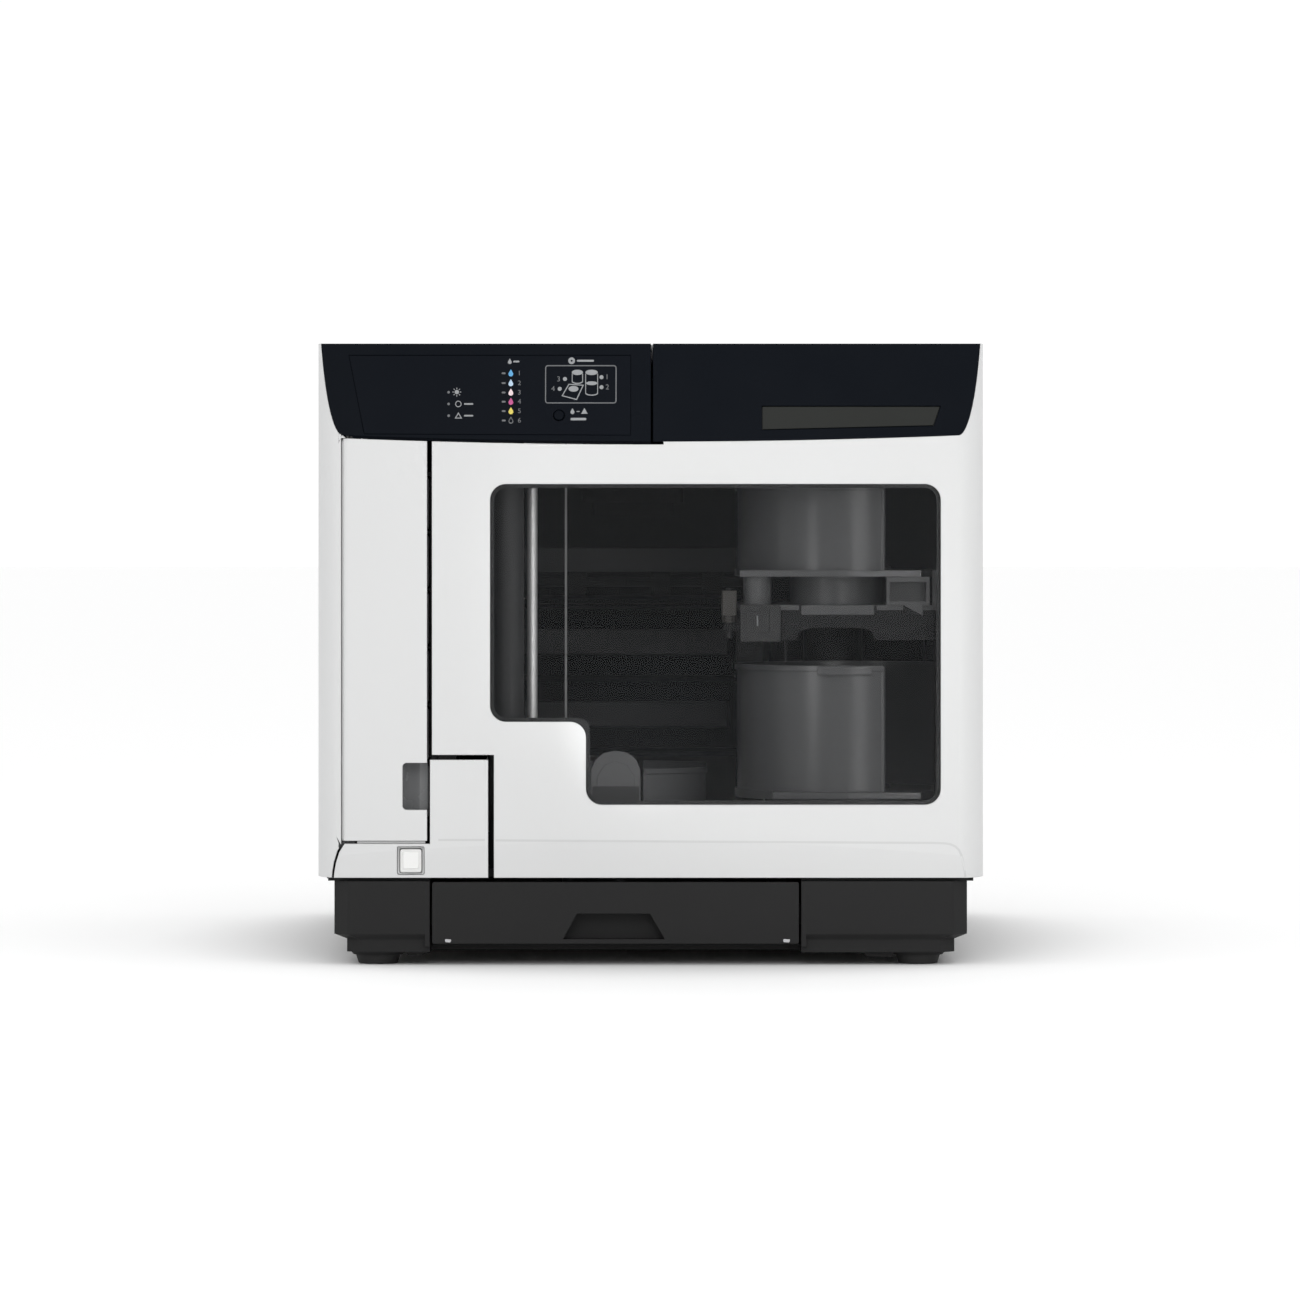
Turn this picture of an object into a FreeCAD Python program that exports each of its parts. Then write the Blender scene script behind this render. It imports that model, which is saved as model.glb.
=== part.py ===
import FreeCAD, Part
import math
import os

# Disc label printer, millimetres. +Z up, front faces -Y, origin under the middle of the feet.
V = FreeCAD.Vector
os.makedirs("parts", exist_ok=True)

# ---- driving dimensions ----
WIDTH = 377.0
DEPTH = 465.0
HEIGHT = 350.8
SKIN = 3.0
FRONT_BOW = 0.85          # how far the front bows out in plan
CORNER_A, CORNER_B = 15.2, 26.0   # front corner ellipse, across and along
REAR_R = 12.0
BODY_Z0 = 49.5
BAND_Z = 295.2            # lower edge of the sloped top band, at the middle
BAND_SLOPE = 0.2415
LEDGE_Z = 70.0
LEDGE_BACK = 2.3
DISC_R = 60.0
SHAFT_X, SHAFT_Y = -67.5, -190.0
ARM_R = 184.9
A_X, A_Y = -20.0, -11.5    # disc centre of the output stack, drives and printer
B_X, B_Y = 112.5, -150.0   # disc centre of the two input stacks
SEAM_X0, SEAM_X1 = 0.1, 1.3
HINGE_X, HINGE_Y = 183.0, -203.0
INK_HX, INK_HY, INK_HR = -170.9, -228.45, 3.2
HW, HD = WIDTH / 2, DEPTH / 2

parts = {}


def box(x0, x1, y0, y1, z0, z1):
    return Part.makeBox(x1 - x0, y1 - y0, z1 - z0, V(x0, y0, z0))


def cyl(x, y, z0, z1, r):
    return Part.makeCylinder(r, z1 - z0, V(x, y, z0), V(0, 0, 1))


def cylx(x0, x1, y, z, r):
    return Part.makeCylinder(r, x1 - x0, V(x0, y, z), V(1, 0, 0))


def cyly(x, y0, y1, z, r):
    return Part.makeCylinder(r, y1 - y0, V(x, y0, z), V(0, 1, 0))


def prism(pts, z0, z1):
    p = [V(x, y, z0) for x, y in pts]
    return Part.Face(Part.makePolygon(p + [p[0]])).extrude(V(0, 0, z1 - z0))


def prism_xz(pts, y0, y1):
    p = [V(x, y0, z) for x, z in pts]
    return Part.Face(Part.makePolygon(p + [p[0]])).extrude(V(0, y1 - y0, 0))


def prism_yz(pts, x0, x1):
    p = [V(x0, y, z) for y, z in pts]
    return Part.Face(Part.makePolygon(p + [p[0]])).extrude(V(x1 - x0, 0, 0))


def rbox(x0, x1, y0, y1, z0, z1, r, axis="z"):
    """Box with its four edges along one axis rounded."""
    s = box(x0, x1, y0, y1, z0, z1)
    es = []
    for e in s.Edges:
        d = e.Vertexes[1].Point - e.Vertexes[0].Point
        if abs({"x": d.x, "y": d.y, "z": d.z}[axis]) > 1e-6 and d.Length > 0:
            if abs(abs({"x": d.x, "y": d.y, "z": d.z}[axis]) - d.Length) < 1e-6:
                es.append(e)
    return s.makeFillet(r, es)


def soften(s, r, test):
    """Fillet the edges that pass a test; leave the shape as it was if that fails."""
    es = [e for e in s.Edges if test(e)]
    if not es:
        return s
    try:
        f = s.makeFillet(r, es)
        if f.isValid() and f.Volume > 0:
            return f
    except Exception:
        pass
    return s


def fuse(*ss):
    s = ss[0]
    for t in ss[1:]:
        s = s.fuse(t)
    return s.removeSplitter()


def cut(s, *ts):
    for t in ts:
        s = s.cut(t)
    return s


def big(s, n=1):
    """The largest n solids of a result, as one shape."""
    so = sorted(s.Solids, key=lambda q: -q.Volume)[:n]
    return so[0] if n == 1 else Part.makeCompound(so)


def out(name, *shapes):
    sol = []
    for s in shapes:
        sol += [q for q in s.Solids if q.Volume > 0.5]
    for q in sol:
        if not q.isValid():
            print("INVALID", name)
    c = sol[0] if len(sol) == 1 else Part.makeCompound(sol)
    c.exportStep("parts/" + name + ".step")
    parts[name] = c
    b = c.BoundBox
    print("%-24s n=%2d vol=%9.0f  X %.1f %.1f Y %.1f %.1f Z %.1f %.1f" % (name, len(sol), sum(q.Volume for q in sol), b.XMin, b.XMax, b.YMin, b.YMax, b.ZMin, b.ZMax))


def plan(o, z):
    """Plan outline of the body, moved in by o."""
    a, b, w, d = CORNER_A - o, CORNER_B - o, HW - o, HD - o
    fx, fy = HW - CORNER_A, -HD + CORNER_B + FRONT_BOW
    cy = -HD + FRONT_BOW + CORNER_B
    r = REAR_R - o
    L = Part.Ellipse(V(-fx, cy - b, z), V(-fx - a, cy, z), V(-fx, cy, z))
    R = Part.Ellipse(V(fx, cy - b, z), V(fx + a, cy, z), V(fx, cy, z))
    eL = Part.ArcOfEllipse(L, 0, math.pi / 2).toShape()
    eR = Part.ArcOfEllipse(R, 0, math.pi / 2).toShape()
    front = Part.Arc(V(-fx, cy - b, z), V(0, -HD + o, z), V(fx, cy - b, z)).toShape()
    s1 = Part.makeLine(V(w, cy, z), V(w, d - r, z))
    c1 = Part.Arc(V(w, d - r, z), V(w - r * (1 - math.sqrt(0.5)), d - r * (1 - math.sqrt(0.5)), z), V(w - r, d, z)).toShape()
    s2 = Part.makeLine(V(w - r, d, z), V(-w + r, d, z))
    c2 = Part.Arc(V(-w + r, d, z), V(-w + r * (1 - math.sqrt(0.5)), d - r * (1 - math.sqrt(0.5)), z), V(-w, d - r, z)).toShape()
    s3 = Part.makeLine(V(-w, d - r, z), V(-w, cy, z))
    return Part.Face(Part.Wire(Part.__sortEdges__([eL, front, eR, s1, c1, s2, c2, s3])))


def envelope(o, z0, z1):
    s = plan(o, z0).extrude(V(0, 0, z1 - z0))
    n = math.sqrt(1 + BAND_SLOPE ** 2)
    yb = lambda z: -HD + (z - BAND_Z) * BAND_SLOPE + o * n
    s = s.cut(prism_yz([(-300, BAND_Z - 40), (yb(BAND_Z - 40), BAND_Z - 40), (yb(400), 400), (-300, 400)], -250, 250))
    k = LEDGE_BACK / (LEDGE_Z - 49.0)
    yl = lambda z: -HD + (LEDGE_Z - z) * k + o
    s = s.cut(prism_yz([(-300, 40), (yl(40), 40), (yl(LEDGE_Z), LEDGE_Z), (-300, LEDGE_Z)], -250, 250)) if o >= 0 else s
    return s


outer = envelope(0, BODY_Z0, HEIGHT)
inner = envelope(SKIN, BODY_Z0 - 5, HEIGHT - SKIN)
skin = big(outer.cut(inner))
print("skin", skin.isValid(), len(skin.Solids), skin.Volume)

# the flat sloped facet of the top band gives the outline of the dark panels
facet = max([f for f in outer.Faces if f.normalAt(0, 0).y < -0.9 and abs(f.normalAt(0, 0).z - 0.2347) < 0.02 and f.Surface.TypeId == "Part::GeomPlane"], key=lambda f: f.Area)
facet_prism = facet.extrude(V(0, 60, 0))
band_zone = facet_prism.common(box(-250, 250, -260, -197.0, 200, 400))
band_zone = Part.makeCompound(band_zone.Solids) if len(band_zone.Solids) > 1 else band_zone.Solids[0]
facet_back = facet.extrude(V(0, -3, 0))
band_cut = fuse(facet_prism, facet_back)
print("facet", facet.BoundBox.ZMin, facet.BoundBox.ZMax, facet.BoundBox.XMin, facet.BoundBox.XMax)

# ================= outer panels =================
yF = -HD                      # front face at the middle
DOOR_Y = HINGE_Y              # the door's skin ends on the hinge plane
band_skin = skin.common(band_zone)
panel_left = band_skin.common(box(-250, SEAM_X0, -260, -197, 200, 400))
fascia = band_skin.common(box(SEAM_X1, 250, -260, DOOR_Y + 0.6, 200, 400))
housing_ribs = fuse(box(-150, -10, -215, -212, 300, 347.8), box(-150, -147, -215, -205, 300, 347.8), box(-13, -10, -215, -205, 300, 347.8))
# board pocket behind the control panel
LED_Z = 250 - (250 - 330) * 1.0

# --- window, status lens ---
wx0, wx1, wz0, wz1 = -90.5, 163.4, 90.7, 271.4
nx, nz = -36.5, 137.4        # the stepped lower-left corner of the window


def window_pts(d):
    return [(wx0 - d, nz - d), (nx - d, nz - d), (nx - d, wz0 - d), (wx1 + d, wz0 - d), (wx1 + d, wz1 + d), (wx0 - d, wz1 + d)]


def window_prism(d, y0, y1, r):
    s = prism_xz(window_pts(d), y0, y1)
    es = [e for e in s.Edges if abs(e.Vertexes[0].Point.y - e.Vertexes[1].Point.y) > 1]
    return s.makeFillet(r, es)


window_hole = window_prism(0, -240, -215, 9.0)
# --- corner cover shape, in front view ---
l_zone = prism_xz([(-172.4, 68.7), (-124.3, 68.7), (-124.3, 116), (-91.6, 116), (-91.6, 49), (-178.6, 49), (-178.2, 53), (-177.3, 58), (-175.4, 64)], -240, -205)
l_clear = prism_xz([(-120, 118.8), (-88.3, 118.8), (-88.3, 40), (-120, 40)], -240, -190)
l_clear = fuse(l_clear, box(-130, -110, -240, -190, 40, 118.8))
corner_cover = skin.common(l_zone)
PB = (-142.9, -127.4, 51.2, 67.3)
corner_cover = corner_cover.cut(rbox(PB[0], PB[1], -245, -215, PB[2], PB[3], 1.2, "y"))
# power button: cap in the opening, stem and flange behind
pb = rbox(PB[0] + 1.7, PB[1] - 1.7, -231.4, -224.5, PB[2] + 1.3, PB[3] - 1.6, 1.2, "y")
pb = pb.makeFillet(0.7, [e for e in pb.Edges if e.BoundBox.YMax < -231.3])
pb = fuse(pb, box(PB[0] + 0.8, PB[1] - 0.8, -224.5, -222.5, PB[2] + 0.8, PB[3] - 0.8), cyly(-135.15, -222.5, -217, 59.2, 2.5))
out("power_button", pb)
bez = rbox(PB[0] - 4, PB[1] + 4, -227.1, -218.5, PB[2] - 1.2, PB[3] + 3, 2, "y").cut(rbox(PB[0] + 0.3, PB[1] - 0.3, -230, -210, PB[2] + 0.3, PB[3] - 0.3, 1.0, "y"))
out("corner_cover", big(fuse(corner_cover, bez.common(inner))))
sw = box(-141, -129, -214.6, -207, 53, 65.5)
out("power_switch", sw)

# --- ink cover with its barrel, grip scoop and seams ---
IX0, IX1, IZ0, IZ1 = -171.5, -126.0, 70.4, 300.0
ic = skin.common(box(INK_HX, IX1, -240, DOOR_Y, IZ0, IZ1))
moved = band_cut.copy()
moved.translate(V(0, 0, -1.6))
ic = ic.cut(moved).cut(band_cut)
ic = big(ic)
barrel = cyl(INK_HX, INK_HY, IZ0, 296.2, INK_HR)
barrel_bore = cyl(INK_HX, INK_HY, IZ0 - 5, 300, 1.56)
ic = fuse(ic, barrel)
# keep the knuckles only near the ends and the middle, a plain roll between them
ic = ic.cut(barrel_bore)
for z0, z1 in ((110.0, 118.0), (252.0, 260.0)):
    ic = ic.cut(cyl(INK_HX, INK_HY, z0, z1, 2.6).cut(box(-180, -160, -240, INK_HY, z0 - 1, z1 + 1)))
GX0, GX1, GZ0, GZ1 = -139.8, -126.0, 87.8, 114.3
scoop = rbox(GX0, GX1 + 6, -240, -222, GZ0, GZ1, 2.4, "y")
ic = ic.cut(scoop)
out("ink_cover", ic)
# scooped grip insert: a cup behind the opening, open towards the gap
cup = rbox(GX0 - 1.6, GX1 - 0.0, -229.4, -217.4, GZ0 - 1.6, GZ1 + 1.6, 2.5, "y")
cup_in = Part.makeCylinder(13.0, GZ1 - GZ0, V(GX1 - 1.2, -231.2, GZ0), V(0, 0, 1)).common(box(GX0, GX1 + 5, -240, -218.6, GZ0, GZ1))
cup = cup.cut(cup_in)
out("ink_cover_grip", big(cup.common(inner)))
pins = [cyl(INK_HX, INK_HY, IZ0 - 1.4, IZ0 + 14, 1.5), cyl(INK_HX, INK_HY, 284, 301.0, 1.5)]

# --- disc cover ---
dz = box(-123.2, 250, -240, DOOR_Y, BODY_Z0, 400)
door = skin.common(dz).cut(l_clear)
door = door.cut(band_zone.common(box(-250, 250, -260, -190, 200, 400)))
door = door.cut(window_hole)
# the door's upper edge left of the seam sits under the control panel
door = door.cut(moved.common(box(-250, SEAM_X1 + 6.0, -260, -190, 200, 400)))
door = big(door)
knuckles = fuse(cyl(HINGE_X, HINGE_Y, 76, 92, 5.4)).fuse(cyl(HINGE_X, HINGE_Y, 318, 334, 5.4))
door = door.fuse(cyl(HINGE_X, HINGE_Y, 76, 92, 5.4)).fuse(cyl(HINGE_X, HINGE_Y, 318, 334, 5.4))
door = door.cut(cyl(HINGE_X, HINGE_Y, 40, 345, 1.56))
# stiffening ribs round the window, behind the skin
rib_o = window_prism(7, -229.5, -225.5, 12.0)
rib_i = window_prism(3.0, -230.5, -220, 10.5)
door = door.fuse(rib_o.cut(rib_i).common(inner))
door = big(door)
out("disc_cover", door)
win = window_prism(2.8, -229.5, -227.2, 10.3).common(inner)
win_f = window_prism(-0.35, -231.2, -228.6, 8.7)
out("disc_cover_window", fuse(win, win_f).cut(door))
lens_pts = [(62.7, 315.4), (163.5, 315.4), (159.5, 304.1), (62.7, 301.8)]


def px_slope(y_at, z):
    return y_at


lens_hole = prism_xz(lens_pts, -240, -212)
fascia = fascia.cut(lens_hole)
fascia = big(fascia)
out("disc_cover_fascia", fascia)
ln = math.sqrt(1 + BAND_SLOPE ** 2)


def band_y(z, o):
    return -HD + (z - BAND_Z) * BAND_SLOPE + o * ln


slab = prism_yz([(band_y(290, 0.9), 290), (band_y(290, 3.0), 290), (band_y(330, 3.0), 330), (band_y(330, 0.9), 330)], 40, 190)
lens = slab.common(prism_xz([(63.1, 315.0), (163.0, 315.0), (159.2, 304.5), (63.1, 302.2)], -240, -212))
flange = prism_yz([(band_y(290, 3.0), 290), (band_y(290, 4.6), 290), (band_y(330, 4.6), 330), (band_y(330, 3.0), 330)], 40, 190).common(prism_xz([(60.5, 317.6), (166.0, 317.6), (161.6, 301.9), (60.5, 299.6)], -240, -205))
out("status_lens", fuse(lens, flange))

# --- hinge brackets and pins of the disc cover ---
leaves = []
for z0, z1 in ((70.0, 75.7), (92.3, 98.0), (312.0, 317.7), (334.3, 340.0)):
    lf = fuse(cyl(HINGE_X, HINGE_Y, z0, z1, 2.3), box(169.6, HINGE_X, HINGE_Y - 2.3, HINGE_Y + 2.3, z0, z1), box(169.6, 176, HINGE_Y - 2.3, -180, z0, z1), box(169.6, 185.5, -188, -180, z0, z1))
    leaves.append(lf.cut(cyl(HINGE_X, HINGE_Y, z0 - 1, z1 + 1, 1.5)))
post1 = box(182.5, 185.5, -188, -168, 70, 98)
post2 = box(182.5, 185.5, -188, -168, 312, 340)
br = fuse(leaves[0], leaves[1], post1)
br2 = fuse(leaves[2], leaves[3], post2)
pins += [cyl(HINGE_X, HINGE_Y, 69.0, 99.0, 1.5), cyl(HINGE_X, HINGE_Y, 311.0, 341.0, 1.5)]

# --- control panel: housing, overlay, button, lights ---
# pocket for the overlay, in the housing's sloped face
ov_pts = [(-170.6, 344.2), (-11.2, 344.2), (-11.2, 298.8), (-161.5, 299.5)]
pocket = prism_yz([(band_y(280, -2), 280), (band_y(280, 0.55), 280), (band_y(360, 0.55), 360), (band_y(360, -2), 360)], -200, 0).common(prism_xz(ov_pts, -240, -205))
BTN_X, BTN_Z = -51.7, 310.1
nrm = V(0, -1 / ln, BAND_SLOPE / ln)


def on_band(x, z, d):
    """Point on the sloped band at x, z, moved out along its normal by d."""
    return V(x, band_y(z, 0), z) + nrm * d


btn_hole = Part.makeCylinder(3.4, 12, on_band(BTN_X, BTN_Z, -8), nrm)
housing = panel_left.cut(pocket).cut(btn_hole)
housing = big(housing)
out("control_panel_housing", housing)
ovs = prism_yz([(band_y(280, 0.05), 280), (band_y(280, 0.55), 280), (band_y(360, 0.55), 360), (band_y(360, 0.05), 360)], -200, 0).common(prism_xz([(-170.3, 343.9), (-11.5, 343.9), (-11.5, 299.1), (-161.2, 299.8)], -240, -205))
ovs = ovs.cut(btn_hole)
out("control_panel_overlay", ovs)
cap = Part.makeCylinder(2.9, 6.4, on_band(BTN_X, BTN_Z, -5.6), nrm)
cap = cap.makeFillet(0.5, [e for e in cap.Edges if e.Closed and (e.BoundBox.Center - on_band(BTN_X, BTN_Z, 0.8)).Length < 0.3])
cap = cap.fuse(Part.makeCylinder(4.4, 1.2, on_band(BTN_X, BTN_Z, -5.6), nrm))
out("panel_button", cap)
# board behind the overlay that carries the lights and the switch
bd = prism_yz([(band_y(296, 8.6), 296), (band_y(296, 10.2), 296), (band_y(346, 10.2), 346), (band_y(346, 8.6), 346)], -160, -14)
bd = bd.common(box(-160, -14, -240, -195, 296, 344))
stand = [Part.makeCylinder(2.5, 5.9, on_band(x, z, -8.9), nrm) for x, z in ((-150, 305), (-20, 305), (-150, 336), (-20, 336))]
out("panel_board", fuse(bd, *[s for s in stand]))

# --- side covers, top cover, rear panel ---
band_any = fuse(box(-250, SEAM_X0, -260, -197.0, 200, 400), box(SEAM_X0, 250, -260, -202.1, 200, 400)).common(facet_prism)
lsc = skin.common(fuse(box(-250, -184.9, -206, 240, 40, 400), box(-250, -174.4, -260, -206, 40, 400)))
lsc = lsc.cut(band_any).cut(cyl(INK_HX, INK_HY, 40, 296.6, INK_HR + 0.35))
lsc = lsc.cut(prism_xz([(-169.9, 69.8), (-169.9, 40), (-180.4, 40), (-179.8, 49), (-179.4, 53.2), (-178.5, 58.4), (-176.6, 64.6), (-173.4, 69.8)], -240, -205))
lsc = lsc.cut(box(-184.9, -160, -206, 240, 40, 347.8))
lsc = big(lsc)
# vertical rib carrying the ink cover's pins
ears = []
for z0, z1 in ((IZ0 - 5.3, IZ0 - 0.5), (297.2, 301.5)):
    e = fuse(cyl(INK_HX, INK_HY, z0, z1, 4.2), box(-185.3, INK_HX, INK_HY, INK_HY + 8, z0, z1)).common(inner)
    ears.append(e.cut(cyl(INK_HX, INK_HY, z0 - 1, z1 + 1, 1.5)))
lsc = lsc.fuse(ears[0]).fuse(ears[1])
lsc = big(lsc)
out("left_side_cover", lsc)
rsc = skin.common(box(184.9, 250, -198.0, 240, 40, 400)).cut(cyl(HINGE_X, HINGE_Y, 40, 400, 8.0))
# a curved lip follows the swing of the door's edge and closes the gap behind it
lip_r = Part.makeCylinder(9.6, 347.0 - BODY_Z0, V(HINGE_X, HINGE_Y, BODY_Z0), V(0, 0, 1), 139)
lip_r.rotate(V(HINGE_X, HINGE_Y, 0), V(0, 0, 1), 38)
lip_r = lip_r.cut(cyl(HINGE_X, HINGE_Y, 40, 400, 8.0)).common(outer)
rsc = rsc.fuse(lip_r)
out("right_side_cover", big(fuse(rsc, br, br2)))
top = skin.common(box(-184.9, 184.9, -202.4, 229.5, 347.0, 400)).cut(band_any)
top = top.cut(cyl(HINGE_X, HINGE_Y, 300, 400, 8.0)).cut(box(174, 200, -240, -198.0, 300, 400))
top = big(top)
out("top_cover", top)
rp = skin.common(box(-184.9, 184.9, 229.5, 240, 40, 400))
rp = rp.cut(cyly(115, 225, 240, 130, 37.0))
rp = rp.cut(box(-150, -122.4, 225, 240, 78, 98.2)).cut(box(-96, -83.4, 225, 240, 82, 93.5))
spokes = [box(114, 116, 229.5, 232.5, 92, 168), box(76, 154, 229.5, 232.5, 129, 131)]
rings = [cyly(115, 229.5, 232.5, 130, r).cut(cyly(115, 228, 234, 130, r - 1.6)) for r in (32, 25.5, 19, 12.5)]
rp = fuse(rp, *(spokes + rings + [cyly(115, 229.5, 232.5, 130, 6)]))
for x, z in ((-170, 60), (170, 60), (-170, 336), (170, 336), (0, 60), (0, 336)):
    rp = rp.cut(cyly(x, 230.3, 233, z, 3.2))
out("rear_panel", big(rp))

# ================= base, feet, drawer =================
BX, BY0, BY1 = 178.7, -229.0, 229.0
CH = 8.0
base_pts = [(-BX, BY0 + CH), (-BX + CH, BY0), (BX - CH, BY0), (BX, BY0 + CH), (BX, BY1 - CH), (BX - CH, BY1), (-BX + CH, BY1), (-BX, BY1 - CH)]


def grow(pts, d, dy=None):
    """Outline moved in by d, or by dy along Y."""
    dy = d if dy is None else dy
    return [(x - d if x > 0 else x + d, y - dy if y > 0 else y + dy) for x, y in pts]


FEET = ((-154.6, -208), (151.5, -208), (-154.6, 208), (151.5, 208))
upper = prism(base_pts, 17.5, 47.5)
low_pts = grow(base_pts, 7.0, 3.0)
lower = prism(low_pts, 7.2, 17.5)
slope = Part.makeLoft([Part.makePolygon([V(x, y, 14.5) for x, y in low_pts] + [V(*low_pts[0], 14.5)]),
                       Part.makePolygon([V(x, y, 17.5) for x, y in base_pts] + [V(*base_pts[0], 17.5)])], True, True)
tray_in = fuse(prism(grow(base_pts, 6.0), 19.5, 60), prism(grow(base_pts, 9.6, 6.0), 10.5, 20))
flange = prism(grow(base_pts, -3.4), 47.5, 49.5).cut(prism(grow(base_pts, 6.0), 40, 60)).common(box(-250, 250, -224, 250, 0, 60))
base = fuse(upper, slope, lower).cut(tray_in)
DX0, DX1 = -123.2, 83.5
base = base.cut(box(DX0 - 1.4, DX1 + 1.4, -240, -205, 0, 60))
base = base.fuse(flange)
base = base.cut(box(DX0 - 1.4, DX1 + 1.4, -240, -205, 0, 60))
# cheeks each side of the drawer mouth, and the small pads under the skirt
for x0, x1 in ((DX0 - 4.2, DX0 - 1.4), (DX1 + 1.4, DX1 + 4.2)):
    base = base.fuse(box(x0, x1, -229, 64, 10.5, 47.5)).fuse(box(x0, x1, -216, 64, 47.5, 49.5))
base = base.fuse(box(DX0 - 4.2, DX1 + 4.2, 64, 66.8, 10.5, 49.5))
for x0, x1, zb in ((-140.0, -120.5 - 5.0, 5.6), (119.0, 139.0, 4.5)):
    pad = prism_xz([(x0, 8.5), (x0 + 3, zb), (x1 - 3, zb), (x1, 8.5)], -222, -196)
    base = base.fuse(pad)
for x, y in FEET:
    base = base.fuse(Part.makeCone(14.0, 16.5, 3.0, V(x, y, 5.2), V(0, 0, 1)))
feet = []
for x, y in FEET:
    f = Part.makeCone(11.0, 12.6, 5.2, V(x, y, 0), V(0, 0, 1))
    f = f.makeFillet(1.0, [e for e in f.Edges if e.BoundBox.ZMax < 0.1])
    feet.append(f)
out("rubber_feet", *feet)

front = rbox(DX0, DX1, -229.4, -226.0, 12.2, 47.0, 1.2, "y")
rec_in = [(-41.5, 29.2), (-0.5, 29.2), (8.0, 14.8), (-49.4, 14.8)]
front = front.fuse(prism_xz([(-43.2, 31.2), (1.2, 31.2), (11.2, 12.8), (-52.6, 12.8)], -227.0, -216.5))
front = front.cut(prism_xz(rec_in, -235, -218.2)).removeSplitter()
out("drawer_front", big(front))
tray = box(-117.6, 77.6, -226, 58, 14, 45.5)
tray = tray.cut(cyl(A_X, A_Y, 17, 60, 61.5))
tray = tray.cut(rbox(-108, 68, -214.5, -84, 17, 60, 6))
tray = tray.cut(box(-52, 12, -100, -50, 30, 60))
for x0, x1 in ((-112, -86), (46, 72)):
    tray = tray.cut(rbox(x0, x1, -60, 50, 12, 43, 4))
# a finger notch over the recess cup of the front
tray = tray.cut(box(-54, 13, -227, -216.2, 12, 33))
tray = tray.fuse(box(-119.0, -117.6, -224, 56, 26.2, 29.8)).fuse(box(77.6, 79.0, -224, 56, 26.2, 29.8))
out("drawer_tray", big(tray.removeSplitter()))
rails = []
for s, x0, x1 in ((1, DX0 - 1.4, -118.2), (-1, 78.2, DX1 + 1.4)):
    wall = DX0 - 1.4 if s > 0 else DX1 - 0.0
    if s > 0:
        r = box(-124.6, -121.4, -214, 60, 22, 34)
        r = fuse(r, box(-121.4, -118.0, -214, 60, 22, 25.9), box(-121.4, -118.0, -214, 60, 30.1, 34))
    else:
        r = box(81.4, 84.9, -214, 60, 22, 34)
        r = fuse(r, box(78.0, 81.4, -214, 60, 22, 25.9), box(78.0, 81.4, -214, 60, 30.1, 34))
    rails.append(r)
base = big(fuse(base, *rails))
# dark gusset behind the gap at the left end of the ledge
gusset = box(-184, -166, -219.6, -217.4, 48.5, 72).common(envelope(SKIN + 0.6, 40, 90))
base = big(fuse(base, gusset))
out("base_pan", base)

deck = prism(grow(base_pts, 7.0), 49.5, 52.0)
deck = deck.cut(cyl(A_X, A_Y, 40, 60, 63.0)).common(box(-117.5, 171, -219, 221, 40, 60))
deck = deck.fuse(box(-117.5, 171, -219, -217, 52, 54))
deck = big(deck)
divider = box(-119.9, -117.5, -219, 80, 49.5, 346.0)
divider = divider.cut(box(-130, -100, -150, 0, 300, 346.5)).cut(box(-121, -100, -220, -185, 294, 347))
divider = divider.fuse(box(-117.5, -110, -219, -216.6, 54, 294))
out("bay_divider", big(divider.removeSplitter()))

# ink bay: holder with six cartridges, one above the other
INX0, INX1 = -168.5, -127.0
IH_Y0, IH_Y1 = -212.0, -125.0
cell_h, cell_g = 31.0, 1.6
z0 = 82.0
holder = box(INX0, INX1 + 6.6, IH_Y0, IH_Y1, z0 - 2.4, z0 + 6 * (cell_h + cell_g) + 0.8)
carts = []
for i in range(6):
    a = z0 + i * (cell_h + cell_g)
    holder = holder.cut(box(INX0 + 2.2, INX1 + 2.2, IH_Y0 - 1, IH_Y1 - 2.4, a, a + cell_h))
    c = rbox(INX0 + 2.8, INX1 + 1.6, IH_Y0 - 4.0, IH_Y1 - 3.4, a + 0.6, a + cell_h - 0.6, 2.0, "y")
    c = c.cut(box(INX0 + 8, INX1 - 4, IH_Y0 - 5, IH_Y0 - 2.6, a + 8, a + 12))
    c = c.cut(box(INX0 + 8, INX1 - 4, IH_Y0 - 5, IH_Y0 - 3.2, a + 16, a + 25))
    carts.append(c)
holder = holder.fuse(box(INX0, INX1 + 6.6, IH_Y1, IH_Y1 + 12, 200, 260))
out("ink_cartridges", *carts)
legs = fuse(box(-168, -120.4, -205, -130, 49.5, 52.5), box(-160, -150, -200, -140, 52.5, 79.6), box(-134, -126, -200, -140, 52.5, 79.6))
out("ink_holder", big(fuse(holder, legs)))

# ================= lift and arm =================
SX, SY = SHAFT_X, SHAFT_Y
out("guide_shaft", cyl(SX, SY, 52.0, 346.5, 3.0))
BELT_Y0, BELT_Y1 = -208.5, -204.5
PCX, PR = -64.0, 15.0
PZ0, PZ1 = 71.0, 326.0
mast_edges = [Part.LineSegment(V(-72, -203.4, 52), V(-91.5, -203.4, 52)), Part.LineSegment(V(-91.5, -203.4, 52), V(-91.5, -211.2, 52)), Part.Arc(V(-91.5, -211.2, 52), V(-81.75, -214.5, 52), V(-72, -211.2, 52)), Part.LineSegment(V(-72, -211.2, 52), V(-72, -203.4, 52))]
mast = Part.Face(Part.Wire([e.toShape() for e in mast_edges])).extrude(V(0, 0, 325 - 52))
mast = mast.cut(box(-89.9, -73.6, -210.2, -190, 40, 350))
mast = mast.cut(box(-76, -70, -220, -190, 304, 350)).cut(box(-80, -70, -220, -190, 40, 90))
foot = box(-100, -91.5, -214, -198, 52, 55)


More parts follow.
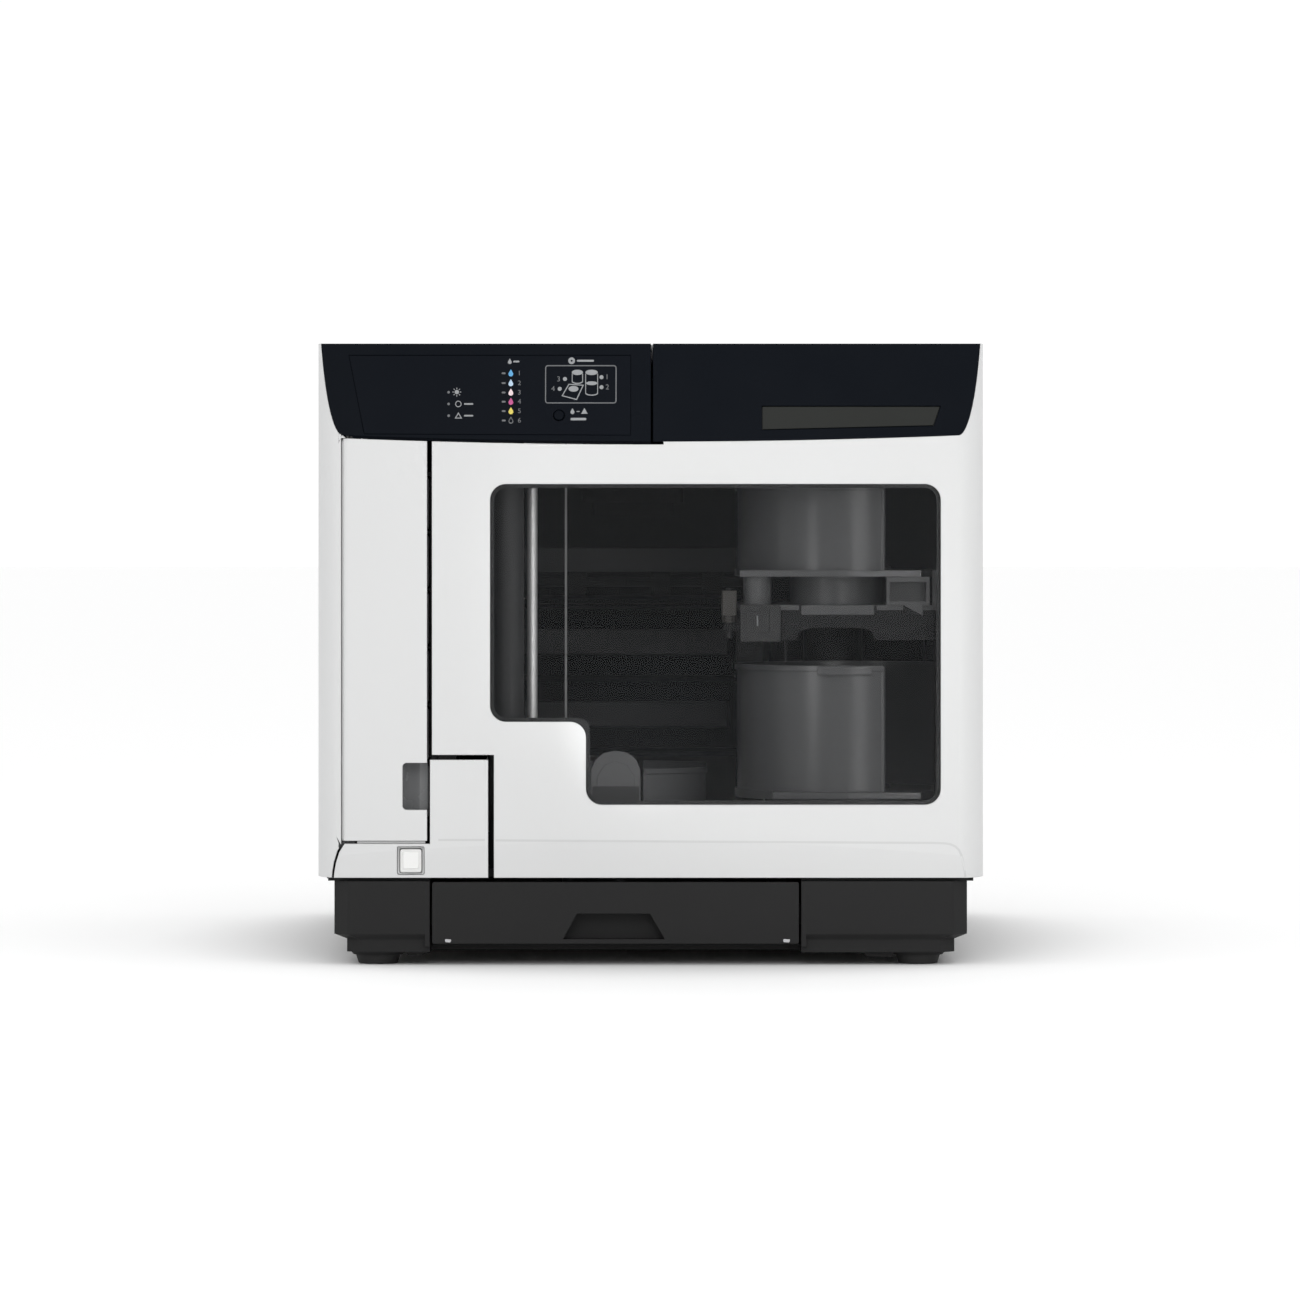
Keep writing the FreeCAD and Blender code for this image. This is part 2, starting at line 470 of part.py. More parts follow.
def pulley(z):
    p = cyly(PCX, BELT_Y0, BELT_Y1, z, PR)
    p = p.fuse(cyly(PCX, BELT_Y1, BELT_Y1 + 0.8, z, PR + 2.0)).fuse(cyly(PCX, BELT_Y0 - 0.8, BELT_Y0, z, PR + 2.0))
    for i in range(5):
        a = i * 2 * math.pi / 5
        p = p.cut(cyly(PCX + 9 * math.cos(a), -220, -190, z + 9 * math.sin(a), 2.6))
    return p.cut(cyly(PCX, -220, -190, z, 2.06)).removeSplitter()


out("lift_pulley_top", pulley(PZ1))
out("lift_pulley_bottom", pulley(PZ0))
ro, ri = PR + 1.5, PR + 0.3
bo = fuse(cyly(PCX, BELT_Y0 + 0.3, BELT_Y1 - 0.3, PZ0, ro), cyly(PCX, BELT_Y0 + 0.3, BELT_Y1 - 0.3, PZ1, ro), box(PCX - ro, PCX + ro, BELT_Y0 + 0.3, BELT_Y1 - 0.3, PZ0, PZ1))
bi = fuse(cyly(PCX, -220, -190, PZ0, ri), cyly(PCX, -220, -190, PZ1, ri), box(PCX - ri, PCX + ri, -220, -190, PZ0, PZ1))
out("lift_belt", bo.cut(bi))
top_br = fuse(box(-91.5, -44, -212, -210, 316, 333), cyly(PCX, -212, -203.4, PZ1, 2.0))
out("mast_cover", big(fuse(mast, foot, top_br)))
motor = rbox(-79, -49, -224.5, -210, PZ0 - 15, PZ0 + 14, 3, "y")
motor = fuse(motor, cyly(PCX, -210, -203.4, PZ0, 2.0), box(-76, -52, -216.5, -210, 52, 57))
out("lift_motor", motor)

cz0, cz1 = 300.0, 326.0
car = rbox(SX - 3.9 + 0.0, -52.0, -200.5, -180, cz0, cz1, 2.5, "z")
car = fuse(car, box(-62, -43, -206, -190, 300, 306), box(-53, -43, -210.0, -203.0, 294.5, 306))
car = car.cut(box(PCX + PR - 0.6, PCX + PR + 2.4, -209.2, -203.8, 290, 330))
# plate that carries the swing motor, behind the mast cover
car = fuse(car, box(-93, -60, -192.5, -174, cz1 - 3, cz1))
car = car.cut(cyl(SX, SY, 290, 340, 3.06))
out("lift_carriage", big(car))
MX, MY = -84.0, -183.0
out("swing_motor", cyl(MX, MY, 294, cz1 - 3, 8.0))
out("swing_pinion", cyl(MX, MY, cz1 + 0.6, cz1 + 7.0, 5.6))
ang = math.atan2(A_Y - SY, A_X - SX)
ux, uy = math.cos(ang), math.sin(ang)


def along(r, w):
    return (SX + ux * r - uy * w, SY + uy * r + ux * w)


beam = prism([along(0, -9), along(ARM_R - 14, -7), along(ARM_R - 14, 7), along(0, 9)], 334.5, 342)
pocket_b = prism([along(18, -6.4), along(ARM_R - 26, -4.6), along(ARM_R - 26, 4.6), along(18, 6.4)], 330, 340)
beam = beam.cut(pocket_b)
hub = fuse(cyl(SX, SY, cz1 + 0.6, cz1 + 7.4, 12.0), cyl(SX, SY, cz1 + 7.4, 342, 11.0))
beam = fuse(beam, hub, cyl(A_X, A_Y, 334.5, 342, 19.0)).cut(cyl(SX, SY, 320, 345, 3.06))
beam = beam.cut(cyl(A_X, A_Y, 330, 339, 16.5))
out("arm_beam", big(beam.removeSplitter()))
head = fuse(cyl(A_X, A_Y, 320, 339, 16.3), cyl(A_X, A_Y, 284, 320, 9.0), cyl(A_X, A_Y, 274.5, 284, 7.2))
for i in range(3):
    a = i * 2 * math.pi / 3
    head = head.cut(cyl(A_X + 7.6 * math.cos(a), A_Y + 7.6 * math.sin(a), 270, 282, 1.6))
out("gripper_head", big(head))

# ================= stackers =================
def sector(cx, cy, z0, z1, r0, r1, a0, a1):
    """Ring sector from angle a0 to a1, degrees."""
    s = Part.makeCylinder(r1, z1 - z0, V(cx, cy, z0), V(0, 0, 1), a1 - a0)
    s.rotate(V(cx, cy, 0), V(0, 0, 1), a0)
    c = cyl(cx, cy, z0 - 1, z1 + 1, r0)
    return s.cut(c)


W0, W1 = -15.0, 288.0       # the wall leaves a hand gap at the front right
s2 = cyl(B_X, B_Y, 92, 97, 64.0)
s2 = s2.fuse(sector(B_X, B_Y, 97, 167.5, 60.8, 62.6, W0, W1)).fuse(sector(B_X, B_Y, 165.5, 168.5, 60.8, 64.2, W0, W1))
s2 = s2.fuse(prism([(69, -180), (69, -213.6), (112, -216), (153, -213.6), (155, -190), (155, -160)], 93.0, 96.8)).fuse(box(51, 61, -212, -196, 92.4, 98.4))
s2 = s2.fuse(sector(B_X, B_Y, 163.4, 167.8, 61.0, 66.0, 254, 281)).fuse(cyl(B_X + 61.7 * math.cos(math.radians(W1)), B_Y + 61.7 * math.sin(math.radians(W1)), 95, 167.6, 1.5))
s2 = s2.cut(cyl(B_X, B_Y, 90, 98, 12))
s2 = s2.fuse(sector(B_X, B_Y, 97, 99, 22, 26, 0, 360))
out("stacker_2", big(s2.removeSplitter()))
s1 = fuse(sector(B_X, B_Y, 219, 222.6, 14, 64.0, 0, 360), sector(B_X, B_Y, 222.6, 269.6, 60.8, 62.6, W0, W1))
s1 = s1.fuse(prism([(50.5, -180), (50.5, -214), (62, -214), (112, -216), (153, -214), (157, -185), (158, -150)], 219, 222.6)).fuse(sector(B_X, B_Y, 222.6, 224.6, 22, 26, 0, 360))
s1 = s1.fuse(sector(B_X, B_Y, 268.0, 270.4, 60.8, 63.6, W0, W1))
s1 = s1.fuse(cyl(B_X + 61.7 * math.cos(math.radians(W1)), B_Y + 61.7 * math.sin(math.radians(W1)), 221, 269.8, 1.5))
s1 = s1.cut(cyl(B_X, B_Y, 210, 226, 14))
out("stacker_1", big(s1.removeSplitter()))
# shelf between the stackers, with its bosses, brackets and posts
sh = box(50.5, 172, -212, -84, 200, 203)
sh = sh.fuse(prism_xz([(74, 200), (74, 183), (82.5, 183), (84, 188), (92, 190), (118, 190), (125.5, 188), (127, 183), (161, 183), (161, 200)], -212.5, -209.5))
sh = sh.cut(cyl(B_X, B_Y, 195, 204, 20))
# round pillar behind the lower stack
pillar = cyl(107.5, -64, 52, 203, 17.5).cut(cyl(107.5, -64, 51, 204, 15.0)).common(box(80, 140, -90, -64, 50, 210))
sh = fuse(sh, pillar, box(92, 123, -85, -66, 200, 203))
sh = fuse(sh, box(75.9, 77.0, -212.2, -209.6, 170, 184), box(146.1, 146.9, -213.1, -212.0, 185, 198), box(155.8, 156.6, -213.1, -212.0, 185, 198), box(159.5, 164.5, -212.5, -208, 202, 223))
sh = fuse(sh, cyl(107, -176, 203, 219, 27.0).cut(cyl(107, -176, 202, 220, 24.4)), cyl(60.5, -204, 203, 219, 8.0), box(133.5, 158, -214, -200, 203, 218.9).cut(box(135.5, 156, -216, -202, 205, 216)), box(143, 154, -214, -211, 197, 204))
sh = sh.fuse(box(84, 128, -212.5, -206, 197.0, 203.0)).fuse(box(161, 167, -212, -200, 52, 200)).fuse(box(160, 172, -100, -84, 52, 200)).fuse(box(50.5, 66, -90, -84, 52, 200))
sh = fuse(sh, box(41.5, 52, -208, -202, 188.2, 192.4), box(50.5, 53.5, -208, -202, 188.2, 203)).cut(cyl(44.6, -205.0, 186, 193, 1.5))
out("stacker_shelf", big(sh.removeSplitter()))
lb = rbox(50.8, 73.6, -216.0, -212.5, 182.2, 203.2, 1.0, "y").fuse(box(52, 72, -212.5, -212.0, 196, 203.0))
lb = lb.cut(box(54.0, 67.2, -216.6, -215.6, 187.6, 199.6))
out("stacker_label_plate", big(lb))
LVX, LVY = 44.6, -205.0
lever = fuse(rbox(40.2, 48.8, -213.0, -203.5, 197.0, 211.0, 1.2, "z"), cyl(LVX, LVY, 193, 197, 4.2)).cut(cyl(LVX, LVY, 180, 220, 1.56))
out("stacker_lock_lever", lever)
pp = cyl(LVX, LVY, 184.0, 212.4, 1.5)
out("hinge_pins", *(pins + [pp]))
ped = fuse(cyl(B_X, B_Y, 52, 55, 47.5), cyl(B_X, B_Y, 55, 92, 30).cut(cyl(B_X, B_Y, 54, 93, 26)), box(66, 159, B_Y - 2, B_Y + 2, 55, 92).cut(cyl(B_X, B_Y, 50, 95, 28)))
# dark wall that closes the bay behind the input stacks
rear_wall = box(72, 171, 12, 14, 50, 340)
out("bay_deck", big(fuse(deck, ped, rear_wall)))
s3 = sector(A_X, A_Y, 52, 56, 63.0, 67.0, 0, 360)
for a0, a1 in ((-140, -106), (-76, -36), (36, 76), (104, 144)):
    s3 = s3.fuse(sector(A_X, A_Y, 56, 103.5, 63.0, 65.0, a0, a1)).fuse(sector(A_X, A_Y, 101.5, 104.5, 63.0, 66.4, a0, a1))
tab = prism_xz([(-35, 52), (-35, 104), (-32.5, 110), (-28, 113.8), (-20.5, 115.3), (-13, 113.8), (-8.5, 110), (-6, 104), (-6, 52)], -78.5, -76.0)
tab = tab.fuse(box(-35, -6, -78.5, -73.0, 52, 56)).fuse(prism_xz([(-31.5, 60), (-31.5, 100), (-27, 107), (-20.5, 109), (-14, 107), (-9.5, 100), (-9.5, 60)], -79.6, -78.5))
s3 = s3.fuse(tab)
s3 = s3.fuse(box(A_X + 64, A_X + 78, -20, -3, 52, 60).cut(cyl(A_X, A_Y, 50, 62, 64)))
out("stacker_3", big(s3.removeSplitter()))

# ================= drives, printer, electronics =================
GX_0, GX_1 = -93.0, 53.0
DY0, DY1 = 55.0, 222.0
cage = []
for x0, x1 in ((GX_0 - 5.0, GX_0 - 1.0), (GX_1 + 1.0, GX_1 + 5.0)):
    c = box(x0, x1, 62, 208, 52, 200)
    c = c.cut(box(x0 - 1, x1 + 1, 80, 200, 62, 104))
    cage.append(c)
cg = fuse(cage[0], cage[1], box(GX_0 - 1, GX_1 + 1, 62, 215, 107, 111.0), box(GX_0 - 1, GX_1 + 1, 62, 215, 198, 200))
out("drive_cage", cg)


def drive(z0):
    b = rbox(GX_0, GX_1, DY0, DY1, z0, z0 + 41, 1.0, "y")
    # tray tunnel, open at the front
    b = b.cut(box(-88.0, 48.0, DY0 - 1, 214, z0 + 12.5, z0 + 29.0))
    return b


def tray_disc(z0):
    t = rbox(-86.0, 46.0, DY0 + 2.0, 200, z0 + 15.0, z0 + 21.0, 3.0, "z")
    t = t.cut(cyl(A_X, 128.5, z0 + 17.5, z0 + 30, 61.0)).cut(cyl(A_X, 128.5, z0 + 16.2, z0 + 30, 41.0))
    t = t.cut(rbox(A_X - 16, A_X + 16, 100, 196, z0 + 10, z0 + 25, 6, "z"))
    t = t.fuse(box(-86.6, 46.6, DY0 - 2.4, DY0 + 2.0, z0 + 13.4, z0 + 28.2))
    return big(t.removeSplitter())


out("disc_drive_lower", drive(112.0))
out("disc_drive_upper", drive(156.2))
out("drive_tray_lower", tray_disc(112.0))
out("drive_tray_upper", tray_disc(156.2))

PX0, PX1, PY0, PY1 = -104.0, 64.0, 40.0, 221.0
pf = fuse(box(PX0, PX0 + 4, PY0, PY1, 200.5, 340), box(PX1 - 4, PX1, PY0, PY1, 200.5, 340), box(PX0, PX1, PY0, PY1, 200.5, 203.5), box(PX0, PX1, PY1 - 3, PY1, 203.5, 300), box(PX0, PX1, PY0, PY0 + 3, 306, 340))
pf = pf.cut(cylx(PX0 - 2, PX1 + 2, 118.0, 300.0, 4.0)).cut(cylx(PX0 - 2, PX1 + 2, 96, 213.0, 3.06))
pf = pf.fuse(box(PX0 + 4, PX0 + 8.5, 60, 205, 220.2, 222.0)).fuse(box(PX1 - 8.5, PX1 - 4, 60, 205, 220.2, 222.0))
pf = pf.fuse(box(PX0 - 6, PX0, 120, 200, 52, 210)).fuse(box(PX1, PX1 + 6, 120, 200, 52, 210))
out("printer_frame", big(pf.removeSplitter()))
out("carriage_rod", cylx(PX0, PX1, 118.0, 300.0, 4.0))
pt = rbox(-95.2, 55.2, 46, 200, 222.4, 230.5, 4.0, "z")
pt = pt.cut(cyl(A_X, 128.5, 227.5, 240, 61.0)).cut(cyl(A_X, 128.5, 226.0, 240, 20.5)).cut(cyl(A_X, 128.5, 220, 240, 8.5))
pt = pt.fuse(box(-95.2, 55.2, 42.6, 46.6, 219.6, 234.0))
out("printer_tray", big(pt.removeSplitter()))
FR = 8.5
roll = cylx(PX0 - 6.5, PX1 + 4.5, 96, 213.0, 3.0)
for x in (-78, -46, 6, 38):
    roll = roll.fuse(cylx(x - 6, x + 6, 96, 213.0, FR))
roll = roll.fuse(cylx(PX1 + 4.5, PX1 + 9.5, 96, 213.0, 12.0))
out("feed_roller", roll.removeSplitter())
pc = rbox(-42, 20, 88, 150, 262, 318, 4.0, "z")
pc = pc.cut(box(-39.5, 17.5, 92, 146, 290, 320).cut(box(-39.5, 17.5, 108, 128, 288, 312)))
pc = pc.fuse(rbox(-36, 14, 96, 140, 254, 262, 2.0, "z")).cut(cylx(-60, 40, 118.0, 300.0, 4.06))
out("print_carriage", big(pc.removeSplitter()))

mb = box(-163.0, -161.4, -90, 200, 60, 270)
chips = [box(-161.4, -157.4, 20, 60, 120, 160), box(-161.4, -158.9, 90, 104, 90, 130), box(-161.4, -158.9, -40, -26, 200, 226), cylx(-161.4, -148, 150, 100, 6), cylx(-161.4, -148, 150, 120, 6), cylx(-161.4, -150, 165, 200, 5), box(-161.4, -152.4, -80, -20, 70, 80), box(-161.4, -152.4, 60, 130, 250, 260)]
posts = [cylx(-185.0, -163.0, y, z, 4.0) for y in (-82, 190) for z in (68, 262)]
out("main_board", fuse(mb, *(chips + posts)))
ps = rbox(72, 165, 20, 170, 53, 96, 1.5, "z")
for i in range(9):
    ps = ps.cut(box(84, 153, 34 + i * 14, 39 + i * 14, 94.2, 97))
out("power_supply", ps.fuse(box(76, 90, 16, 20, 60, 74)).fuse(cyl(80, 28, 52, 53, 4)).fuse(cyl(156, 160, 52, 53, 4)))
ff = rbox(75, 155, 204, 229.5, 90, 170, 4.0, "y").cut(cyly(115, 200, 240, 130, 37.5))
ff = fuse(ff, cyly(115, 226.5, 229.5, 130, 14), box(113, 117, 226.5, 229.5, 92, 168), box(77, 153, 226.5, 229.5, 128, 132), cyly(115, 212, 226.5, 130, 2.5))
for x in (79, 151):
    for z in (94, 166):
        ff = ff.cut(cyly(x, 200, 228, z, 2.2))
out("fan_frame", ff.removeSplitter())
fr = cyly(115, 207, 225.6, 130, 15.0).cut(cyly(115, 210, 230, 130, 2.56))
for i in range(7):
    a = i * 360.0 / 7
    blade = Part.makeBox(21.5, 1.6, 17.0, V(14.0, -0.8, -8.5))
    blade.rotate(V(0, 0, 0), V(1, 0, 0), 52)
    # lay the blade out along X, then spin it round the fan axis (Y)
    blade.translate(V(115, 216.3, 130))
    blade.rotate(V(115, 216.3, 130), V(0, 1, 0), a)
    fr = fr.fuse(blade)
out("fan_rotor", big(fr.removeSplitter()))
ac = fuse(rbox(-149.6, -122.8, 206, 232.2, 78.4, 97.8, 2.0, "y"), rbox(-153.6, -118.8, 226.5, 229.5, 75.4, 100.8, 2.0, "y"))
ac = ac.cut(rbox(-146.2, -126.2, 214, 235, 81.6, 94.6, 2.0, "y"))
for x in (-141.2, -136.2, -131.2):
    ac = ac.fuse(box(x - 1, x + 1, 213, 228, 86.6, 90.6))
out("ac_inlet", ac.removeSplitter())
us = box(-95.6, -83.8, 212, 232.0, 82.4, 93.1).cut(box(-93.9, -85.5, 218, 233, 83.9, 91.6))
us = us.fuse(box(-92.6, -86.8, 217, 229, 86.2, 89.2)).fuse(box(-97, -82.4, 225.5, 229.5, 80.4, 95.1).cut(box(-95.6, -83.8, 220, 230, 82.4, 93.1)))
us = us.fuse(box(-99.4, -80.0, 211, 214, 52.0, 93.1))
out("usb_port", us.removeSplitter())
screws = []
for x, z in ((-170, 60), (170, 60), (-170, 336), (170, 336), (0, 60), (0, 336)):
    h = cyly(x, 230.3, 232.5, z, 3.2)
    screws.append(h.cut(box(x - 0.5, x + 0.5, 231.6, 233, z - 2.2, z + 2.2)).cut(box(x - 2.2, x + 2.2, 231.6, 233, z - 0.5, z + 0.5)))
out("cover_screws", *screws)
print("NODES", len(parts))
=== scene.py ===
import bpy
import bmesh
import math
from mathutils import Vector, Matrix


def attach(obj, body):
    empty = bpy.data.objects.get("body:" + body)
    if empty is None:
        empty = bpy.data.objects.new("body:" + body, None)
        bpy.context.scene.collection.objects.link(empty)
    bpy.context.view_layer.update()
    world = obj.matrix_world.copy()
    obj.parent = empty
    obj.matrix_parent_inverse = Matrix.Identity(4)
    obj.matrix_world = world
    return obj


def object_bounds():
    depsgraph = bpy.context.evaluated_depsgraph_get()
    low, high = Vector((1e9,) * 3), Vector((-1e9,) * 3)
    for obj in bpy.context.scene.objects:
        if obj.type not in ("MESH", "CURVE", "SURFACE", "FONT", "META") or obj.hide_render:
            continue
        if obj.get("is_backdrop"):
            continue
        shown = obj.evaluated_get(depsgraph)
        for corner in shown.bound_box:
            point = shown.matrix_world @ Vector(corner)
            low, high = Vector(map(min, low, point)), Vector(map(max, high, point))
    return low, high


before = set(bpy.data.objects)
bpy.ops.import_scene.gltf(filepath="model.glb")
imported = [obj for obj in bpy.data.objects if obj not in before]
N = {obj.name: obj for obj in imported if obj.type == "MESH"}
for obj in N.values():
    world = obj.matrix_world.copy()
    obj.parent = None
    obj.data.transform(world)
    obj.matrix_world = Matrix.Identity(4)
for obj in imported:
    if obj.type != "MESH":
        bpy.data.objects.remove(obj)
B0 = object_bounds()
MM = 0.001


# ------------------------------------------------------------------ materials
def mat(name, color, rough=0.45, metal=0.0, coat=0.0, coat_rough=0.1, spec=0.5, alpha=1.0, grain=0.0, grain_scale=900.0, grain_dist=0.00004,
        var=0.0, var_scale=6.0, edge=0.0, rough_var=0.0, brushed=None, emission=None, estr=0.0):
    """A node-based finish: base colour with slow variation, fine moulded grain in the bump, softened edges."""
    m = bpy.data.materials.new(name)
    m.use_nodes = True
    nt = m.node_tree
    nt.nodes.clear()
    o = nt.nodes.new("ShaderNodeOutputMaterial")
    p = nt.nodes.new("ShaderNodeBsdfPrincipled")
    nt.links.new(p.outputs["BSDF"], o.inputs["Surface"])
    p.inputs["Base Color"].default_value = (*color, 1)
    p.inputs["Roughness"].default_value = rough
    p.inputs["Metallic"].default_value = metal
    p.inputs["Coat Weight"].default_value = coat
    p.inputs["Coat Roughness"].default_value = coat_rough
    p.inputs["Specular IOR Level"].default_value = spec
    p.inputs["Alpha"].default_value = alpha
    if emission:
        p.inputs["Emission Color"].default_value = (*emission, 1)
        p.inputs["Emission Strength"].default_value = estr
    tc = nt.nodes.new("ShaderNodeTexCoord")
    mp = nt.nodes.new("ShaderNodeMapping")
    nt.links.new(tc.outputs["Object"], mp.inputs["Vector"])
    if brushed:
        mp.inputs["Scale"].default_value = brushed
    if var > 0:
        n = nt.nodes.new("ShaderNodeTexNoise")
        n.inputs["Scale"].default_value = var_scale
        n.inputs["Detail"].default_value = 3.0
        nt.links.new(mp.outputs["Vector"], n.inputs["Vector"])
        r = nt.nodes.new("ShaderNodeValToRGB")
        r.color_ramp.elements[0].position = 0.3
        r.color_ramp.elements[1].position = 0.7
        r.color_ramp.elements[0].color = (*[c * (1 - var) for c in color], 1)
        r.color_ramp.elements[1].color = (*[min(1, c * (1 + var)) for c in color], 1)
        nt.links.new(n.outputs["Fac"], r.inputs["Fac"])
        nt.links.new(r.outputs["Color"], p.inputs["Base Color"])
    if rough_var > 0:
        n2 = nt.nodes.new("ShaderNodeTexNoise")
        n2.inputs["Scale"].default_value = 40.0
        n2.inputs["Detail"].default_value = 4.0
        nt.links.new(mp.outputs["Vector"], n2.inputs["Vector"])
        mr = nt.nodes.new("ShaderNodeMapRange")
        mr.inputs["From Min"].default_value = 0.3
        mr.inputs["From Max"].default_value = 0.7
        mr.inputs["To Min"].default_value = max(0.02, rough - rough_var)
        mr.inputs["To Max"].default_value = min(1, rough + rough_var)
        nt.links.new(n2.outputs["Fac"], mr.inputs["Value"])
        nt.links.new(mr.outputs["Result"], p.inputs["Roughness"])
    last = None
    if edge > 0:
        bv = nt.nodes.new("ShaderNodeBevel")
        bv.samples = 4
        bv.inputs["Radius"].default_value = edge * MM
        last = bv.outputs["Normal"]
    if grain > 0:
        g = nt.nodes.new("ShaderNodeTexNoise")
        g.inputs["Scale"].default_value = grain_scale
        g.inputs["Detail"].default_value = 2.0
        nt.links.new(mp.outputs["Vector"], g.inputs["Vector"])
        b = nt.nodes.new("ShaderNodeBump")
        b.inputs["Strength"].default_value = grain
        b.inputs["Distance"].default_value = grain_dist
        nt.links.new(g.outputs["Fac"], b.inputs["Height"])
        if last:
            nt.links.new(last, b.inputs["Normal"])
        last = b.outputs["Normal"]
    if last:
        nt.links.new(last, p.inputs["Normal"])
    return m


M = {
    "white": mat("white_plastic", (0.562, 0.565, 0.565), 0.42, spec=0.4, grain=0.25, grain_scale=1400, var=0.008, var_scale=5, edge=0.8, rough_var=0.03),
    "button": mat("white_button", (0.62, 0.62, 0.61), 0.32, grain=0.1, grain_scale=1500, var=0.006, edge=0.5, rough_var=0.03),
    "button_pad": mat("button_pad", (0.70, 0.70, 0.69), 0.28, grain=0.1, grain_scale=1500, var=0.004, edge=0.3),
    "grip": mat("grip_grey", (0.15, 0.153, 0.156), 0.28, grain=0.2, var=0.02, edge=0.4, rough_var=0.04),
    "label": mat("label_grey", (0.022, 0.0225, 0.023), 0.45, var=0.02, edge=0.3),
    "label_dark": mat("label_dark", (0.017, 0.0175, 0.018), 0.4, grain=0.15, var=0.02, rough_var=0.03),
    "black": mat("black_gloss", (0.0020, 0.0032, 0.0056), 0.30, spec=0.03, grain=0.12, grain_scale=1600, var=0.02, edge=0.7, rough_var=0.03),
    "overlay": mat("panel_overlay", (0.0026, 0.0038, 0.0064), 0.34, spec=0.03, grain=0.1, grain_scale=1800, var=0.02, rough_var=0.02),
    "base": mat("base_charcoal", (0.0195, 0.0195, 0.0197), 0.52, spec=0.06, grain=0.5, grain_scale=1100, grain_dist=0.00006, var=0.03, edge=0.8, rough_var=0.04),
    "dark": mat("dark_plastic", (0.020, 0.0205, 0.022), 0.5, spec=0.25, grain=0.4, grain_scale=1100, var=0.04, edge=0.5, rough_var=0.05),
    "mast": mat("mast_grey", (0.0165, 0.0168, 0.0178), 0.40, spec=0.4, grain=0.3, var=0.03, edge=0.6, rough_var=0.04),
    "deck": mat("deck_black", (0.012, 0.0125, 0.0135), 0.6, spec=0.15, var=0.04, edge=0.5, rough_var=0.03),
    "stacker": mat("stacker_smoke", (0.105, 0.106, 0.109), 0.28, spec=0.5, var=0.006, var_scale=4, edge=0.5),
    "rubber": mat("rubber", (0.012, 0.012, 0.012), 0.8, grain=0.8, grain_scale=1500, var=0.05, rough_var=0.05),
    "pin": mat("pin_black_steel", (0.03, 0.03, 0.031), 0.35, metal=0.5, grain=0.1, var=0.03, rough_var=0.04),
    "shelf": mat("shelf_grey", (0.100, 0.101, 0.103), 0.36, spec=0.4, var=0.01, edge=0.5),
    # painted shade: a near-black copy of the shelf grey for the shelf's lower faces
    "shelf_painted_shade": mat("shelf_grey_painted_shade", (0.013, 0.0133, 0.014), 0.45, spec=0.2, var=0.02, edge=0.4),
    "chrome": mat("chrome_steel", (0.96, 0.96, 0.96), 0.50, metal=0.7, grain=0.05, grain_scale=600, brushed=(1, 1, 0.02), var=0.02, rough_var=0.04),
    "screw": mat("screw_steel", (0.42, 0.42, 0.43), 0.32, metal=1.0, grain=0.2, var=0.05, edge=0.2, rough_var=0.08),
    "steel": mat("galvanised_steel", (0.50, 0.51, 0.52), 0.38, metal=1.0, grain=0.2, grain_scale=500, var=0.08, var_scale=60, edge=0.3, rough_var=0.1),
    "pulley": mat("pulley_plastic", (0.30, 0.30, 0.29), 0.42, grain=0.3, var=0.03, edge=0.3, rough_var=0.04),
    "drive": mat("drive_black", (0.0036, 0.0037, 0.0041), 0.55, spec=0.04, var=0.03, edge=0.3),
    "belt": mat("belt_grey", (0.19, 0.19, 0.192), 0.55, grain=0.5, grain_scale=1200, var=0.03, rough_var=0.04),
    "lever": mat("lever_grey", (0.046, 0.042, 0.037), 0.45, grain=0.2, var=0.02, edge=0.3, rough_var=0.03),
    "tray": mat("tray_plastic", (0.022, 0.0225, 0.024), 0.42, spec=0.25, grain=0.35, var=0.03, edge=0.4, rough_var=0.04),
    "cart": mat("cartridge_plastic", (0.05, 0.051, 0.055), 0.3, coat=0.3, grain=0.2, var=0.03, edge=0.6, rough_var=0.04),
    "pcb_dark": mat("panel_circuit_board", (0.003, 0.010, 0.006), 0.5, spec=0.1, grain=0.2),
    "pcb": mat("circuit_board", (0.016, 0.11, 0.045), 0.35, coat=0.4, grain=0.3, grain_scale=300, var=0.25, var_scale=160, rough_var=0.05),
    "chip": mat("chip_black", (0.012, 0.012, 0.013), 0.45, grain=0.3, var=0.04, edge=0.2),
    "gold": mat("contact_gold", (0.75, 0.52, 0.22), 0.28, metal=1.0, grain=0.1, var=0.04, rough_var=0.05),
    # painted shade: a darker white for the strips that stand for the crease along the lower ledge
    "crease_painted_shade": mat("crease_painted_shade", (0.495, 0.498, 0.498), 0.5, spec=0.3, grain=0.2, grain_scale=1400, var=0.008),
    "print_white": mat("print_white", (0.22, 0.227, 0.235), 0.5, grain=0.1, var=0.01),
    "print_grey": mat("print_grey", (0.095, 0.099, 0.105), 0.5, grain=0.1, var=0.01),
    # black window rim print, also used as painted shade on the side cover's hinge ears
    "black_rim_and_painted_shade": mat("window_black_rim_and_painted_shade", (0.006, 0.0065, 0.0075), 0.3, coat=0.3, grain=0.05, var=0.03),
    "blank_label": mat("blank_label", (0.62, 0.63, 0.62), 0.5, grain=0.1, var=0.01),
    "disc": mat("disc_surface", (0.72, 0.72, 0.74), 0.22, metal=0.9, grain=0.02, brushed=(1, 1, 1), var=0.02),
}
for nm, col in (("ink_cyan", (0.05, 0.26, 0.50)), ("ink_light_cyan", (0.34, 0.46, 0.58)), ("ink_light_magenta", (0.60, 0.48, 0.50)), ("ink_magenta", (0.38, 0.035, 0.17)),
                ("ink_yellow", (0.55, 0.45, 0.06)), ("ink_black", (0.10, 0.10, 0.11))):
    M[nm] = mat(nm, col, 0.4, grain=0.1, var=0.02)


